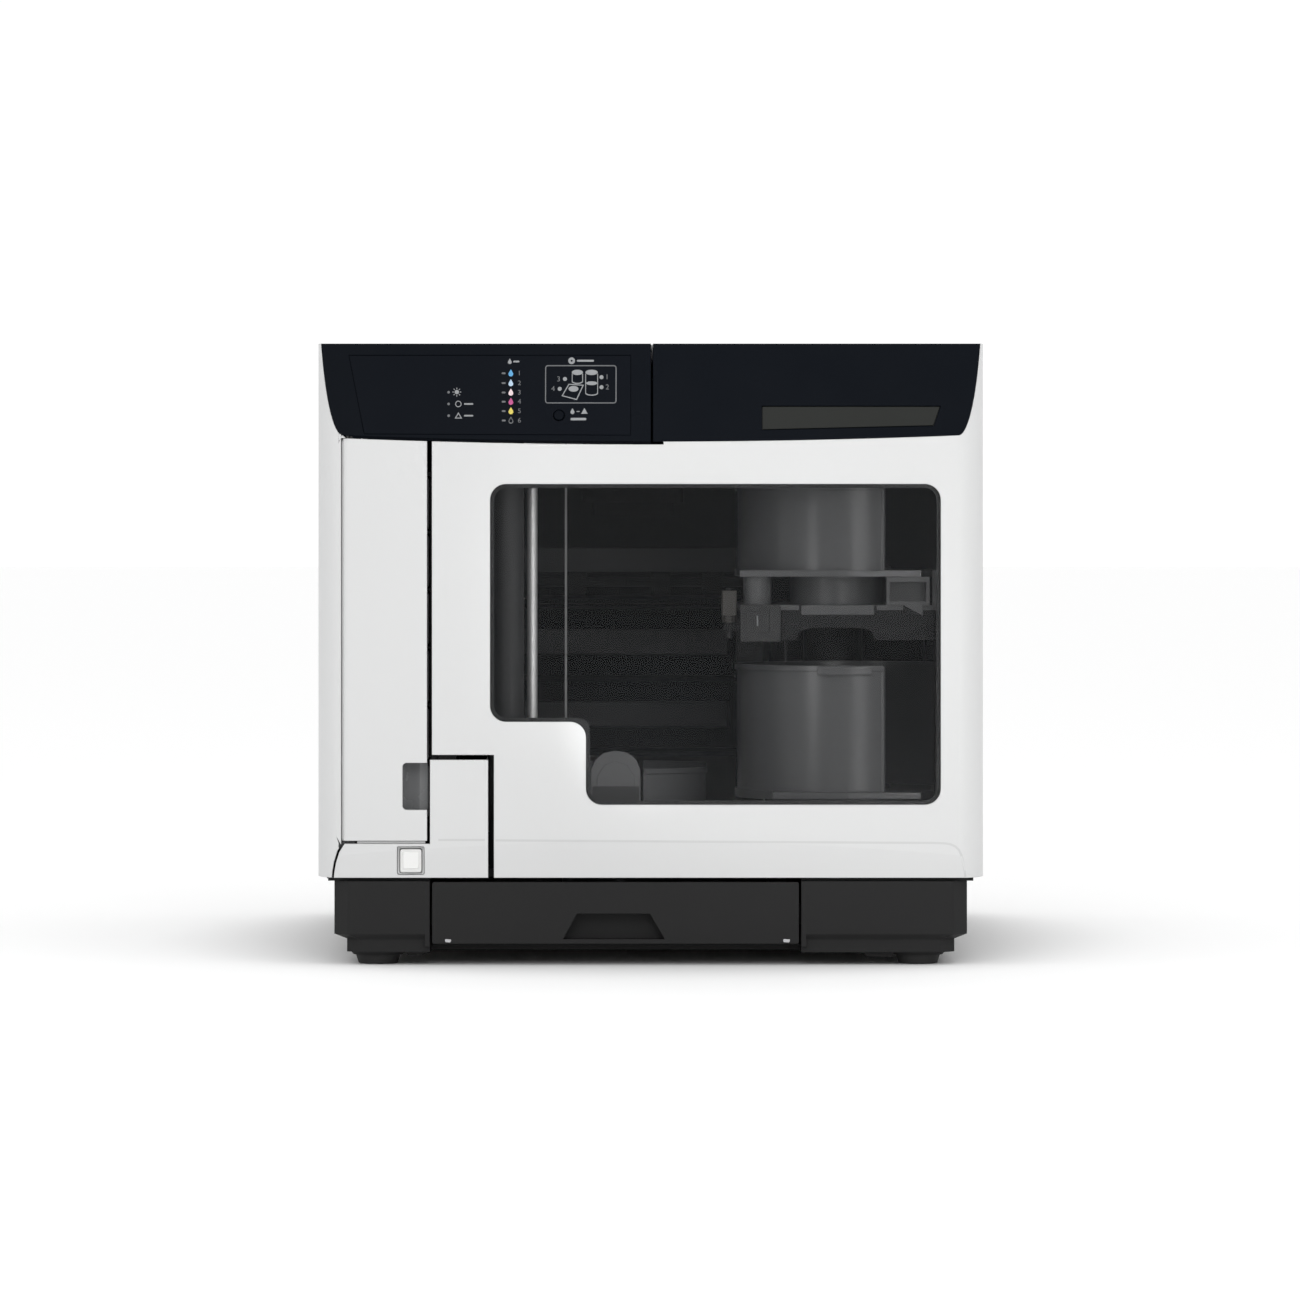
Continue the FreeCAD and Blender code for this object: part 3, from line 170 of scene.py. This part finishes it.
def glass(name, tint, alpha, rough=0.03, spec=0.5):
    m = mat(name, tint, rough, alpha=alpha, coat=0.0, spec=spec)
    nt = m.node_tree
    p = [n for n in nt.nodes if n.type == "BSDF_PRINCIPLED"][0]
    tc = [n for n in nt.nodes if n.type == "TEX_COORD"][0]
    n = nt.nodes.new("ShaderNodeTexNoise")
    n.inputs["Scale"].default_value = 3.0
    nt.links.new(tc.outputs["Object"], n.inputs["Vector"])
    mr = nt.nodes.new("ShaderNodeMapRange")
    mr.inputs["To Min"].default_value = rough * 0.8
    mr.inputs["To Max"].default_value = rough * 1.3
    nt.links.new(n.outputs["Fac"], mr.inputs["Value"])
    nt.links.new(mr.outputs["Result"], p.inputs["Roughness"])
    return m


M["window"] = glass("smoked_window", (0.008, 0.009, 0.010), 0.22, 0.03, 0.3)
M["lens"] = mat("status_lens", (0.0078, 0.0090, 0.0074), 0.16, spec=0.10, var=0.03, rough_var=0.02, edge=0.2)

use = {
    "white": ["left_side_cover", "right_side_cover", "top_cover", "rear_panel", "corner_cover", "ink_cover", "disc_cover"],
    "button": ["power_button"], "grip": ["ink_cover_grip"], "label": ["stacker_label_plate"], "black": ["control_panel_housing", "disc_cover_fascia", "panel_button"],
    "overlay": ["control_panel_overlay"], "base": ["base_pan", "drawer_front"],
    "dark": ["drawer_tray", "bay_divider", "ink_holder", "lift_carriage", "arm_beam", "power_switch", "usb_port", "ac_inlet", "fan_frame", "fan_rotor"],
    "mast": ["mast_cover"], "shelf": ["stacker_shelf"], "pin": ["hinge_pins"], "deck": ["bay_deck"], "stacker": ["stacker_1", "stacker_2", "stacker_3"], "window": ["disc_cover_window"], "lens": ["status_lens"],
    "lever": ["stacker_lock_lever"], "belt": ["lift_belt"], "drive": ["drive_cage", "printer_frame", "disc_drive_lower", "disc_drive_upper", "print_carriage"], "rubber": ["rubber_feet", "feed_roller"], "chrome": ["guide_shaft", "carriage_rod"], "screw": ["cover_screws", "lift_motor", "swing_motor"],
    "steel": ["power_supply"], "pulley": ["lift_pulley_top", "lift_pulley_bottom", "swing_pinion", "gripper_head"],
    "tray": ["drive_tray_lower", "drive_tray_upper", "printer_tray"], "cart": ["ink_cartridges"], "pcb": ["main_board"], "pcb_dark": ["panel_board"],
}
for k, names in use.items():
    for n in names:
        ob = N[n]
        ob.data.materials.clear()
        ob.data.materials.append(M[k])


def paint_shade_on_faces(node, material, test):
    """Gives the faces that pass the test (centre in mm) a second material, which paints shade on them."""
    ob = N[node]
    ob.data.materials.append(material)
    k = len(ob.data.materials) - 1
    mw = ob.matrix_world
    for poly in ob.data.polygons:
        c = mw @ poly.center / MM
        if test(c):
            poly.material_index = k


# painted shade: the shelf's faces below z 199.5 are painted near-black, standing for the shade under the shelf
paint_shade_on_faces("stacker_shelf", M["shelf_painted_shade"], lambda c: c.z < 199.5)
# painted shade: the side cover's hinge ears, seen through the gaps round the ink cover, are painted black to stand for
# the shadow in those gaps
paint_shade_on_faces("left_side_cover", M["black_rim_and_painted_shade"], lambda c: c.x > -176.0 and c.y < -220.0 and (296.7 < c.z < 301.9 or 64.8 < c.z < 70.2))


# ------------------------------------------------------------------ mesh helpers
LN = math.sqrt(1 + 0.2415 ** 2)
NB = Vector((0, -1 / LN, 0.2415 / LN))
TB = Vector((0, 0.2415 / LN, 1 / LN))


def new_obj(name, bm, material, body, smooth=False):
    me = bpy.data.meshes.new(name)
    bmesh.ops.recalc_face_normals(bm, faces=bm.faces)
    bm.to_mesh(me)
    bm.free()
    if smooth:
        me.polygons.foreach_set("use_smooth", [True] * len(me.polygons))
    ob = bpy.data.objects.new(name, me)
    bpy.context.scene.collection.objects.link(ob)
    me.materials.append(material)
    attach(ob, body)
    return ob


def bm_prism(bm, lo, hi):
    """A closed prism between two matching loops of points."""
    a = [bm.verts.new(p) for p in lo]
    b = [bm.verts.new(p) for p in hi]
    n = len(a)
    bm.faces.new(a[::-1])
    bm.faces.new(b)
    for i in range(n):
        bm.faces.new((a[i], a[(i + 1) % n], b[(i + 1) % n], b[i]))


def bm_ring(bm, outer, inner, n_vec):
    """A closed flat frame between an outer and an inner loop, n_vec thick."""
    o0 = [bm.verts.new(p) for p in outer]
    i0 = [bm.verts.new(p) for p in inner]
    o1 = [bm.verts.new(p + n_vec) for p in outer]
    i1 = [bm.verts.new(p + n_vec) for p in inner]
    n = len(outer)
    for k in range(n):
        j = (k + 1) % n
        bm.faces.new((o0[k], i0[k], i0[j], o0[j]))
        bm.faces.new((o1[k], o1[j], i1[j], i1[k]))
        bm.faces.new((o0[k], o0[j], o1[j], o1[k]))
        bm.faces.new((i0[k], i1[k], i1[j], i0[j]))


def bpt(x, z, d=0.0):
    """A point on the sloped top band, at x and z in millimetres, d out along its normal."""
    return (Vector((x, -232.5 + (z - 295.2) * 0.2415, z)) + NB * d) * MM


def pp(px, py):
    """Panel drawing units to x, z on the band, in millimetres."""
    x = (px - 650.75) * 0.5631
    z = (966 - py) * 0.5631
    d = (z - 295.2) * 0.2415
    k = 1 + d / 2500
    return x * k, 250 - (250 - z) * k


D0, D1 = -0.16, 0.02


def flat(bm, pts, d0=D0, d1=D1):
    bm_prism(bm, [bpt(x, z, d0) for x, z in pts], [bpt(x, z, d1) for x, z in pts])


def circ(cx, cz, rx, rz=None, n=20, a0=0.0, a1=2 * math.pi):
    rz = rx if rz is None else rz
    full = abs(a1 - a0 - 2 * math.pi) < 1e-6
    m = n if full else n + 1
    return [(cx + rx * math.cos(a0 + (a1 - a0) * i / n), cz + rz * math.sin(a0 + (a1 - a0) * i / n)) for i in range(m)]


def rrect(x0, x1, z0, z1, r, n=5):
    out = []
    for cx, cz, a in ((x1 - r, z1 - r, 0), (x0 + r, z1 - r, 90), (x0 + r, z0 + r, 180), (x1 - r, z0 + r, 270)):
        for i in range(n + 1):
            t = math.radians(a + 90 * i / n)
            out.append((cx + r * math.cos(t), cz + r * math.sin(t)))
    return out


def frame_flat(bm, outer, inner, d0=D0, d1=D1):
    bm_ring(bm, [bpt(x, z, d0) for x, z in outer], [bpt(x, z, d0) for x, z in inner], NB * (d1 - d0) * MM)


def drop(cx, cz, s):
    pts = []
    for i in range(17):
        t = math.radians(140 - 320 + 0 + i * 260 / 16) if False else math.radians(150 + i * 240 / 16)
        pts.append((cx + s * 0.62 * math.cos(t), cz - s * 0.2 + s * 0.62 * math.sin(t)))
    pts.append((cx, cz + s * 1.05))
    return pts


def text_obj(name, body_text, material, body, at, size, sloped=True, depth=0.00006):
    cu = bpy.data.curves.new(name, "FONT")
    cu.body = body_text
    cu.size = size
    cu.align_x = "CENTER"
    cu.align_y = "CENTER"
    cu.extrude = depth
    ob = bpy.data.objects.new(name, cu)
    bpy.context.scene.collection.objects.link(ob)
    if sloped:
        x_ax, y_ax, z_ax = Vector((1, 0, 0)), TB, NB
    else:
        x_ax, y_ax, z_ax = Vector((1, 0, 0)), Vector((0, 0, 1)), Vector((0, -1, 0))
    ob.matrix_world = Matrix(((x_ax.x, y_ax.x, z_ax.x, at.x), (x_ax.y, y_ax.y, z_ax.y, at.y), (x_ax.z, y_ax.z, z_ax.z, at.z), (0, 0, 0, 1)))
    bpy.context.view_layer.update()
    dg = bpy.context.evaluated_depsgraph_get()
    me = bpy.data.meshes.new_from_object(ob.evaluated_get(dg))
    me.transform(ob.matrix_world)
    bpy.data.objects.remove(ob)
    o2 = bpy.data.objects.new(name, me)
    bpy.context.scene.collection.objects.link(o2)
    me.materials.clear()
    me.materials.append(material)
    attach(o2, body)
    return o2


# ------------------------------------------------------------------ control panel graphics
CH = "chassis"
bm = bmesh.new()
U = 0.5631
# three status lights and their marks
for py in (392.4, 404.1, 415.8):
    x, z = pp(448.8, py)
    flat(bm, circ(x, z, 0.75, n=14))
for py in (373.5, 383.3, 392.7, 401.8, 411.2, 420.6):
    x, z = pp(503.8, py)
    flat(bm, rrect(x - 1.1, x + 1.1, z - 0.5, z + 0.5, 0.45, 3))
new_obj("panel_status_lights", bm, M["print_grey"], CH)

bm = bmesh.new()
x, z = pp(457.0, 392.2)
flat(bm, circ(x, z, 1.25, n=20))
for i in range(8):
    a = i * math.pi / 4
    c, s = math.cos(a), math.sin(a)
    q = [(x + c * 1.7 - s * 0.22, z + s * 1.7 + c * 0.22), (x + c * 2.5 - s * 0.22, z + s * 2.5 + c * 0.22), (x + c * 2.5 + s * 0.22, z + s * 2.5 - c * 0.22), (x + c * 1.7 + s * 0.22, z + s * 1.7 - c * 0.22)]
    flat(bm, q)
# working mark: a ring; fault mark: a triangle frame
x, z = pp(458.5, 404.1)
frame_flat(bm, circ(x, z, 1.8, n=24), circ(x, z, 1.35, n=24))
flat(bm, rrect(x + 3.2, x + 8.4, z - 0.45, z + 0.45, 0.4, 3))
x, z = pp(458.5, 415.8)
frame_flat(bm, [(x - 2.1, z - 1.6), (x + 2.1, z - 1.6), (x, z + 2.0)], [(x - 1.25, z - 1.1), (x + 1.25, z - 1.1), (x, z + 1.05)])
flat(bm, rrect(x + 3.2, x + 8.4, z - 0.45, z + 0.45, 0.4, 3))
# headers: a drop over the ink column, a disc over the stacker diagram
x, z = pp(512.5, 361.8)
flat(bm, drop(x - 1.4, z, 1.7))
flat(bm, rrect(x + 0.6, x + 4.0, z - 0.5, z + 0.5, 0.45, 3))
x, z = pp(580.6, 361.0)
frame_flat(bm, circ(x - 5.0, z, 1.9, n=24), circ(x - 5.0, z, 0.6, n=24))
flat(bm, rrect(x - 2.0, x + 7.6, z - 0.55, z + 0.55, 0.5, 3))
# stacker diagram
x0, z1 = pp(545.3, 365.4)
x1, z0 = pp(616.6, 403.6)
for px, py, rx, rz in ((577.5, 372.6, 5.6, 2.7), (591.7, 372.6, 6.2, 2.7), (591.7, 383.4, 5.6, 1.9), (573.6, 389.0, 5.0, 2.9)):
    x, z = pp(px, py)
    flat(bm, circ(x, z, rx * U, rz * U, 26))
for px, hw, top, bot in ((577.5, 5.6, 374.0, 381.8), (591.7, 6.4, 374.0, 393.5)):
    xa, zt = pp(px, top)
    xa, zb = pp(px, bot)
    h = hw * U
    o = [(xa - h, zt)] + [(xa + h * math.cos(t), zb + 1.3 * math.sin(t)) for t in [math.pi + i * math.pi / 14 for i in range(15)]] + [(xa + h, zt)]
    i_ = [(xa - h + 0.42, zt)] + [(xa + (h - 0.42) * math.cos(t), zb + 0.36 + 1.1 * math.sin(t)) for t in [math.pi + i * math.pi / 14 for i in range(15)]] + [(xa + h - 0.42, zt)]
    for k in range(len(o) - 1):
        flat(bm, [o[k], o[k + 1], i_[k + 1], i_[k]])
q = [pp(568.7, 384.0), pp(584.0, 385.0), pp(577.0, 400.2), pp(561.6, 396.2)]
c = (sum(p[0] for p in q) / 4, sum(p[1] for p in q) / 4)
frame_flat(bm, q[::-1], [(c[0] + (p[0] - c[0]) * 0.87, c[1] + (p[1] - c[1]) * 0.87) for p in q][::-1])
for px, py in ((565.1, 379.2), (559.8, 389.0), (601.6, 377.4), (601.6, 387.4)):
    x, z = pp(px, py)
    flat(bm, circ(x, z, 1.15, n=16))
# button marks: a drop, an arrow and a short bar
x, z = pp(572.5, 411.6)
flat(bm, drop(x, z, 1.8))
flat(bm, rrect(x + 2.3, x + 4.1, z - 0.25, z + 0.25, 0.2, 2))
flat(bm, [(x + 4.9, z - 1.3), (x + 8.6, z - 1.3), (x + 6.75, z + 2.0)])
flat(bm, rrect(x - 1.0, x + 7.8, z - 5.0, z - 3.6, 0.5, 3))
new_obj("panel_marks", bm, M["print_white"], CH)
bm = bmesh.new()
frame_flat(bm, rrect(x0, x1, z0, z1, 1.6), rrect(x0 + 0.6, x1 - 0.6, z0 + 0.6, z1 - 0.6, 1.0))
new_obj("panel_diagram_frame", bm, M["print_grey"], CH)
for i, (nm, py) in enumerate((("ink_cyan", 373.5), ("ink_light_cyan", 383.3), ("ink_light_magenta", 392.7), ("ink_magenta", 401.8), ("ink_yellow", 411.2))):
    bm = bmesh.new()
    x, z = pp(511.0, py)
    flat(bm, drop(x, z, 2.15))
    new_obj("panel_drop_%d" % (i + 1), bm, M[nm], CH)
bm = bmesh.new()
x, z = pp(511.0, 420.6)
o, i_ = drop(x, z, 2.15), drop(x, z - 0.05, 1.45)
frame_flat(bm, o, i_)
new_obj("panel_drop_6", bm, M["print_grey"], CH)
for t, px, py, s in (("3", 558.7, 379.4, 0.0042), ("4", 553.2, 389.0, 0.0042), ("1", 607.1, 377.2, 0.0042), ("2", 607.4, 387.4, 0.0042)):
    x, z = pp(px, py)
    text_obj("panel_number_" + t, t, M["print_grey"], CH, bpt(x, z, -0.05), s)
for i, py in enumerate((373.5, 383.3, 392.7, 401.8, 411.2, 420.6)):
    x, z = pp(519.5, py)
    text_obj("ink_number_%d" % (i + 1), str(i + 1), M["print_grey"], CH, bpt(x, z, -0.05), 0.0039)


# ------------------------------------------------------------------ window border, labels, small parts
def round_poly(pts, r, n=6):
    """Corners of a polygon rounded with radius r (works for inner and outer corners)."""
    out = []
    m = len(pts)
    for i in range(m):
        p0, p1, p2 = Vector(pts[i - 1]), Vector(pts[i]), Vector(pts[(i + 1) % m])
        a, b = (p0 - p1).normalized(), (p2 - p1).normalized()
        s, e = p1 + a * r, p1 + b * r
        c = p1 + (a + b) * r
        for k in range(n + 1):
            t = k / n
            q = s.lerp(e, t)
            d = (q - c)
            out.append(tuple(c + d.normalized() * r))
    return out


def win_pts(d):
    return [(-36.5 - d, 90.7 - d), (163.4 + d, 90.7 - d), (163.4 + d, 271.4 + d), (-90.5 - d, 271.4 + d), (-90.5 - d, 137.4 - d), (-36.5 - d, 137.4 - d)]


def fy(pts, y):
    return [Vector((x, y, z)) * MM for x, z in pts]


bm = bmesh.new()
bm_ring(bm, fy(round_poly(win_pts(2.2), 11.2), -227.15), fy(round_poly(win_pts(-2.2), 6.8), -227.15), Vector((0, 0.35, 0)) * MM)
new_obj("window_border", bm, M["black_rim_and_painted_shade"], "disc_door")

bm = bmesh.new()
bm_prism(bm, fy(rrect(54.15, 67.05, 187.75, 199.45, 0.6), -215.62), fy(rrect(54.15, 67.05, 187.75, 199.45, 0.6), -215.75))
new_obj("stacker_label_face", bm, M["label_dark"], CH)
text_obj("stacker_label_number", "1", M["print_white"], CH, Vector((60.4, -215.76, 193.7)) * MM, 0.0085, sloped=False)

# light ring between the power button and its opening, and the strip under the ink cover's edge
bm = bmesh.new()
bm_ring(bm, fy(rrect(-142.7, -127.6, 51.4, 67.1, 1.1), -229.2), fy(rrect(-141.6, -128.7, 52.1, 66.1, 1.1), -229.2), Vector((0, 0.6, 0)) * MM)
new_obj("power_button_surround", bm, M["white"], CH)
bm = bmesh.new()
bm_prism(bm, fy(rrect(-165.4, -127.0, 68.8, 70.2, 0.3), -229.6), fy(rrect(-165.4, -127.0, 68.8, 70.2, 0.3), -229.9))
new_obj("ledge_seam_strip", bm, M["white"], CH)

# painted shade: strips of darker white laid on the surface along the edge of the lower ledge, standing for the shade
# of its soft crease, curving down at its right-hand end


def front_y(x, z):
    yp = -232.5 + 0.85 * (x / 173.3) ** 2 if abs(x) < 173.3 else -205.65 - 26.0 * math.sqrt(max(0.0, 1 - ((abs(x) - 173.3) / 15.2) ** 2))
    yl = -232.5 + (70.0 - z) * 2.3 / 21.0 if z < 70.0 else -300.0
    return max(yp, yl)


# draws a painted shade line: a thin strip of darker white along a path on the front surface
def crease(name, path, body):
    bm = bmesh.new()
    rows = []
    for i, (x, z) in enumerate(path):
        a, b = path[max(i - 1, 0)], path[min(i + 1, len(path) - 1)]
        tx, tz = b[0] - a[0], b[1] - a[1]
        ln = math.hypot(tx, tz)
        nx, nz = -tz / ln * 0.62, tx / ln * 0.62
        row = []
        for sx, dy in ((1, -0.04), (-1, -0.04), (-1, 0.25), (1, 0.25)):
            px, pz = x + nx * sx, max(z + nz * sx, 49.6)
            row.append(bm.verts.new(Vector((px, front_y(px, pz) + dy, pz)) * MM))
        rows.append(row)
    for r0, r1 in zip(rows, rows[1:]):
        for k in range(4):
            bm.faces.new((r0[k], r0[(k + 1) % 4], r1[(k + 1) % 4], r1[k]))
    bm.faces.new(rows[0])
    bm.faces.new(list(reversed(rows[-1])))
    new_obj(name, bm, M["crease_painted_shade"], body)


crease("corner_crease_painted_shade", [(x, 70.9) for x in (-119.6, -113.0, -106.0, -99.0, -93.4)], CH)
crease("ledge_crease_painted_shade", [(-87.4 + i * 6.0, 70.7 - 0.006 * (i * 6.0)) for i in range(0, 42)]
       + [(163.0, 69.1), (166.5, 68.9), (169.0, 68.4), (171.6, 67.2), (173.6, 65.3), (174.9, 62.6), (175.7, 59.5), (176.4, 56.0), (177.0, 52.5), (177.3, 50.0)], "disc_door")

# painted shade: a black strip in the slot under the control panel, standing for the shadow in that slot; and the light
# corner pieces above the ink cover's roll
bm = bmesh.new()
xs = [-168.0 + 4.0 * i for i in range(43)]
lo = [(x, 295.2 + 3.52 * (x / 173.3) ** 2 - 1.3) for x in xs]
hi = [(x, 295.2 + 3.52 * (x / 173.3) ** 2 + 0.6) for x in reversed(xs)]
bm_prism(bm, fy(lo + hi, -229.6), fy(lo + hi, -230.9))
new_obj("panel_slot_painted_shade", bm, M["black"], CH)
bm = bmesh.new()
cap = [(-174.5, 297.25), (-171.8, 297.25), (-172.8, 298.2), (-174.5, 300.2)]
bm_prism(bm, fy(cap, -229.8), fy(cap, -231.2))
edge = [(-176.0, 296.2), (-174.5, 296.2), (-174.5, 299.5), (-176.0, 299.9)]
bm_prism(bm, fy(edge, -230.0), [Vector((x, front_y(x, z) - 0.03, z)) * MM for x, z in edge])
new_obj("side_cover_corner", bm, M["white"], CH)
bm = bmesh.new()
half = [(-170.9 - 3.15 * math.sin(t), -228.45 - 3.15 * math.cos(t)) for t in [math.radians(-60 + 10 * i) for i in range(13)]]
bm_prism(bm, [Vector((x, y, 296.1)) * MM for x, y in half], [Vector((x, y, 296.95)) * MM for x, y in half])
new_obj("ink_cover_roll_top", bm, M["white"], "ink_door")

# light filler on the ink cover's roll, so its seam is a shallow groove
bm = bmesh.new()
angs = [math.radians(40.0 + 5.0 * i) for i in range(13)]
arc = [(-170.9 - 3.46 * math.sin(t), -228.45 - 3.46 * math.cos(t)) for t in angs] + [(-170.9 - 3.12 * math.sin(t), -228.45 - 3.12 * math.cos(t)) for t in reversed(angs)]
bm_prism(bm, [Vector((x, y, 70.9)) * MM for x, y in arc], [Vector((x, y, 295.4)) * MM for x, y in arc])
new_obj("ink_cover_roll_filler", bm, M["white"], "ink_door")

# painted shade: a dark sheet behind the gap under the ink cover, standing for the shadow in that gap
bm = bmesh.new()
bm_prism(bm, fy(rrect(-172, -126, 66.6, 79.0, 0.6), -214.0), fy(rrect(-172, -126, 66.6, 79.0, 0.6), -214.4))
new_obj("ink_bay_painted_shade", bm, M["deck"], CH)

# light lip on the front of the stacker shelf
bm = bmesh.new()
bm_prism(bm, fy(rrect(85.2, 126.6, 197.3, 203.0, 0.8), -212.5), fy(rrect(85.4, 126.4, 197.5, 202.8, 0.8), -212.85))
new_obj("shelf_front_lip", bm, M["shelf"], CH)

# dark lower panel on the tab of the output stack's guide
bm = bmesh.new()
bm_prism(bm, fy(rrect(-34.2, -6.8, 57.0, 94.5, 1.0), -78.5), fy(rrect(-34.2, -6.8, 57.0, 94.5, 1.0), -80.0))
new_obj("stacker_tab_panel", bm, M["black_rim_and_painted_shade"], CH)

# raised pad on the power button
bm = bmesh.new()
lo = rrect(-139.7, -130.4, 54.4, 64.4, 1.2)
c = (-135.05, 59.4)
hi = [(c[0] + (x - c[0]) * 0.9, c[1] + (z - c[1]) * 0.9) for x, z in lo]
bm_prism(bm, fy(lo, -231.35), fy(hi, -231.75))
new_obj("power_button_pad", bm, M["button_pad"], "power_button_cap")

# bright runner tips under the drawer front
for i, (xa, xb) in enumerate(((-116.0, -112.6), (74.6, 78.4))):
    bm = bmesh.new()
    prof = [(xa, 14.4), (xa + 0.4, 13.2), (xb - 0.6, 13.0), (xb, 13.6), (xb, 14.7), (xa + 0.5, 14.9)]
    bm_prism(bm, fy(prof, -229.9), fy(prof, -229.35))
    new_obj("drawer_runner_tip_%d" % (i + 1), bm, M["screw"], "drawer")

# bare rating plate on the back
bm = bmesh.new()
bm_prism(bm, fy(rrect(-60, 18, 66, 104, 2.0), 232.5), fy(rrect(-59.8, 17.8, 66.2, 103.8, 2.0), 232.62))
new_obj("rear_blank_plate", bm, M["blank_label"], CH)

# chip tops on the main board
bm = bmesh.new()
for cy, cz, w, h in ((40, 140, 36, 36), (97, 110, 14, 40), (-33, 213, 14, 26)):
    bm_prism(bm, [Vector((-157.3 if w == 36 else -158.8, y, z)) * MM for y, z in rrect(cy - w / 2 + 1, cy + w / 2 - 1, cz - h / 2 + 1, cz + h / 2 - 1, 1.0)],
             [Vector((-157.0 if w == 36 else -158.5, y, z)) * MM for y, z in rrect(cy - w / 2 + 1.4, cy + w / 2 - 1.4, cz - h / 2 + 1.4, cz + h / 2 - 1.4, 1.0)])
new_obj("board_chip_tops", bm, M["chip"], CH)


# ------------------------------------------------------------------ stage, light, camera
fm = bpy.data.materials.new("stage_floor")
fm.use_nodes = True
fp = fm.node_tree.nodes["Principled BSDF"]
# painted shadow: the floor's colour is darker close round the base
fnt = fm.node_tree
ftc = fnt.nodes.new("ShaderNodeTexCoord")
fmp = fnt.nodes.new("ShaderNodeMapping")
fmp.inputs["Scale"].default_value = (1 / 0.52, 1 / 0.60, 1.0)
floor_shadow_gradient = fnt.nodes.new("ShaderNodeTexGradient")
floor_shadow_gradient.gradient_type = "SPHERICAL"
floor_painted_shadow_ramp = fnt.nodes.new("ShaderNodeValToRGB")
floor_painted_shadow_ramp.color_ramp.interpolation = "EASE"
floor_painted_shadow_ramp.color_ramp.elements[0].position = 0.40
floor_painted_shadow_ramp.color_ramp.elements[0].color = (0.955, 0.955, 0.955, 1)
floor_painted_shadow_ramp.color_ramp.elements[1].position = 0.68
floor_painted_shadow_ramp.color_ramp.elements[1].color = (0.74, 0.74, 0.74, 1)
fnt.links.new(ftc.outputs["Object"], fmp.inputs["Vector"])
fnt.links.new(fmp.outputs["Vector"], floor_shadow_gradient.inputs["Vector"])
fnt.links.new(floor_shadow_gradient.outputs["Fac"], floor_painted_shadow_ramp.inputs["Fac"])
fnt.links.new(floor_painted_shadow_ramp.outputs["Color"], fp.inputs["Base Color"])
fp.inputs["Roughness"].default_value = 0.9
fp.inputs["Specular IOR Level"].default_value = 0.1
bm = bmesh.new()
bmesh.ops.create_circle(bm, cap_ends=True, cap_tris=False, segments=96, radius=30)
me = bpy.data.meshes.new("floor")
bm.to_mesh(me)
bm.free()
floor = bpy.data.objects.new("floor", me)
bpy.context.scene.collection.objects.link(floor)
me.materials.append(fm)
floor.location = (0, 0, 0)
floor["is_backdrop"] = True

w = bpy.data.worlds.new("studio")
bpy.context.scene.world = w
w.use_nodes = True
bg = w.node_tree.nodes["Background"]
bg.inputs["Color"].default_value = (1.0, 1.0, 1.0, 1)
bg.inputs["Strength"].default_value = 1.03


def area(name, loc, target, sx, sy, power, color=(1, 1, 1)):
    ld = bpy.data.lights.new(name, "AREA")
    ld.shape = "RECTANGLE"
    ld.size, ld.size_y = sx, sy
    ld.energy = power
    ld.color = color
    ob = bpy.data.objects.new(name, ld)
    bpy.context.scene.collection.objects.link(ob)
    ob.location = loc
    d = Vector(target) - Vector(loc)
    ob.rotation_euler = d.to_track_quat("-Z", "Y").to_euler()
    return ob


def spot(name, loc, target, power, spread, size=0.06, blend=0.8):
    """A narrow lamp that reaches into the bay through the window only."""
    ld = bpy.data.lights.new(name, "SPOT")
    ld.energy = power
    ld.spot_size = 2 * math.atan(spread / (Vector(target) - Vector(loc)).length)
    ld.spot_blend = blend
    ld.shadow_soft_size = size
    ob = bpy.data.objects.new(name, ld)
    bpy.context.scene.collection.objects.link(ob)
    ob.location = loc
    ob.rotation_euler = (Vector(target) - Vector(loc)).to_track_quat("-Z", "Y").to_euler()
    return ob


area("key_soft", (1.3, -1.6, 1.9), (0, 0, 0.15), 1.6, 1.6, 4)
area("front_soft", (-0.3, -3.0, 1.5), (0, 0, 0.15), 2.0, 1.2, 20)
spot("stacker_lamp", (0.40, -1.35, 0.24), (0.088, -0.215, 0.180), 80, 0.085, 0.30)
spot("stacker_edge_lamp", (-0.80, -1.40, 0.20), (0.092, -0.213, 0.180), 10, 0.084, 0.05)
spot("upper_stacker_lamp", (0.30, -1.35, 0.26), (0.100, -0.213, 0.236), 145, 0.036, 0.20)
for lz in (0.163, 0.203, 0.243):
    spot("rod_lamp_%d" % (lz * 1000), (0.55, -1.20, lz + 0.02), (-0.070, -0.207, lz), 10, 0.030, 0.03, 1.0)
spot("tab_lamp", (0.11, -1.25, 0.42), (-0.016, -0.080, 0.101), 170, 0.026, 0.04)

cam = bpy.data.cameras.new("camera")
co = bpy.data.objects.new("camera", cam)
bpy.context.scene.collection.objects.link(co)
co.location = (-0.0004, -3.6325, 0.250)
co.rotation_euler = (math.radians(90), 0, 0)
cam.sensor_fit = "HORIZONTAL"
cam.sensor_width = 36.0
cam.lens = 122.95 * 3.4 / 2.5
cam.shift_x = 0.0
cam.shift_y = -0.0985
cam.clip_start = 0.05
cam.clip_end = 100
bpy.context.scene.camera = co
bpy.context.scene.view_settings.view_transform = "Standard"
bpy.context.scene.view_settings.look = "None"
bpy.context.scene.view_settings.exposure = 0.0
bpy.context.scene.view_settings.gamma = 1.0

B1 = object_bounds()


def plain(b):
    return [[float(v) for v in row] for row in b] if hasattr(b, "__iter__") else b


{"cad": plain(B0), "visual": plain(B1)}
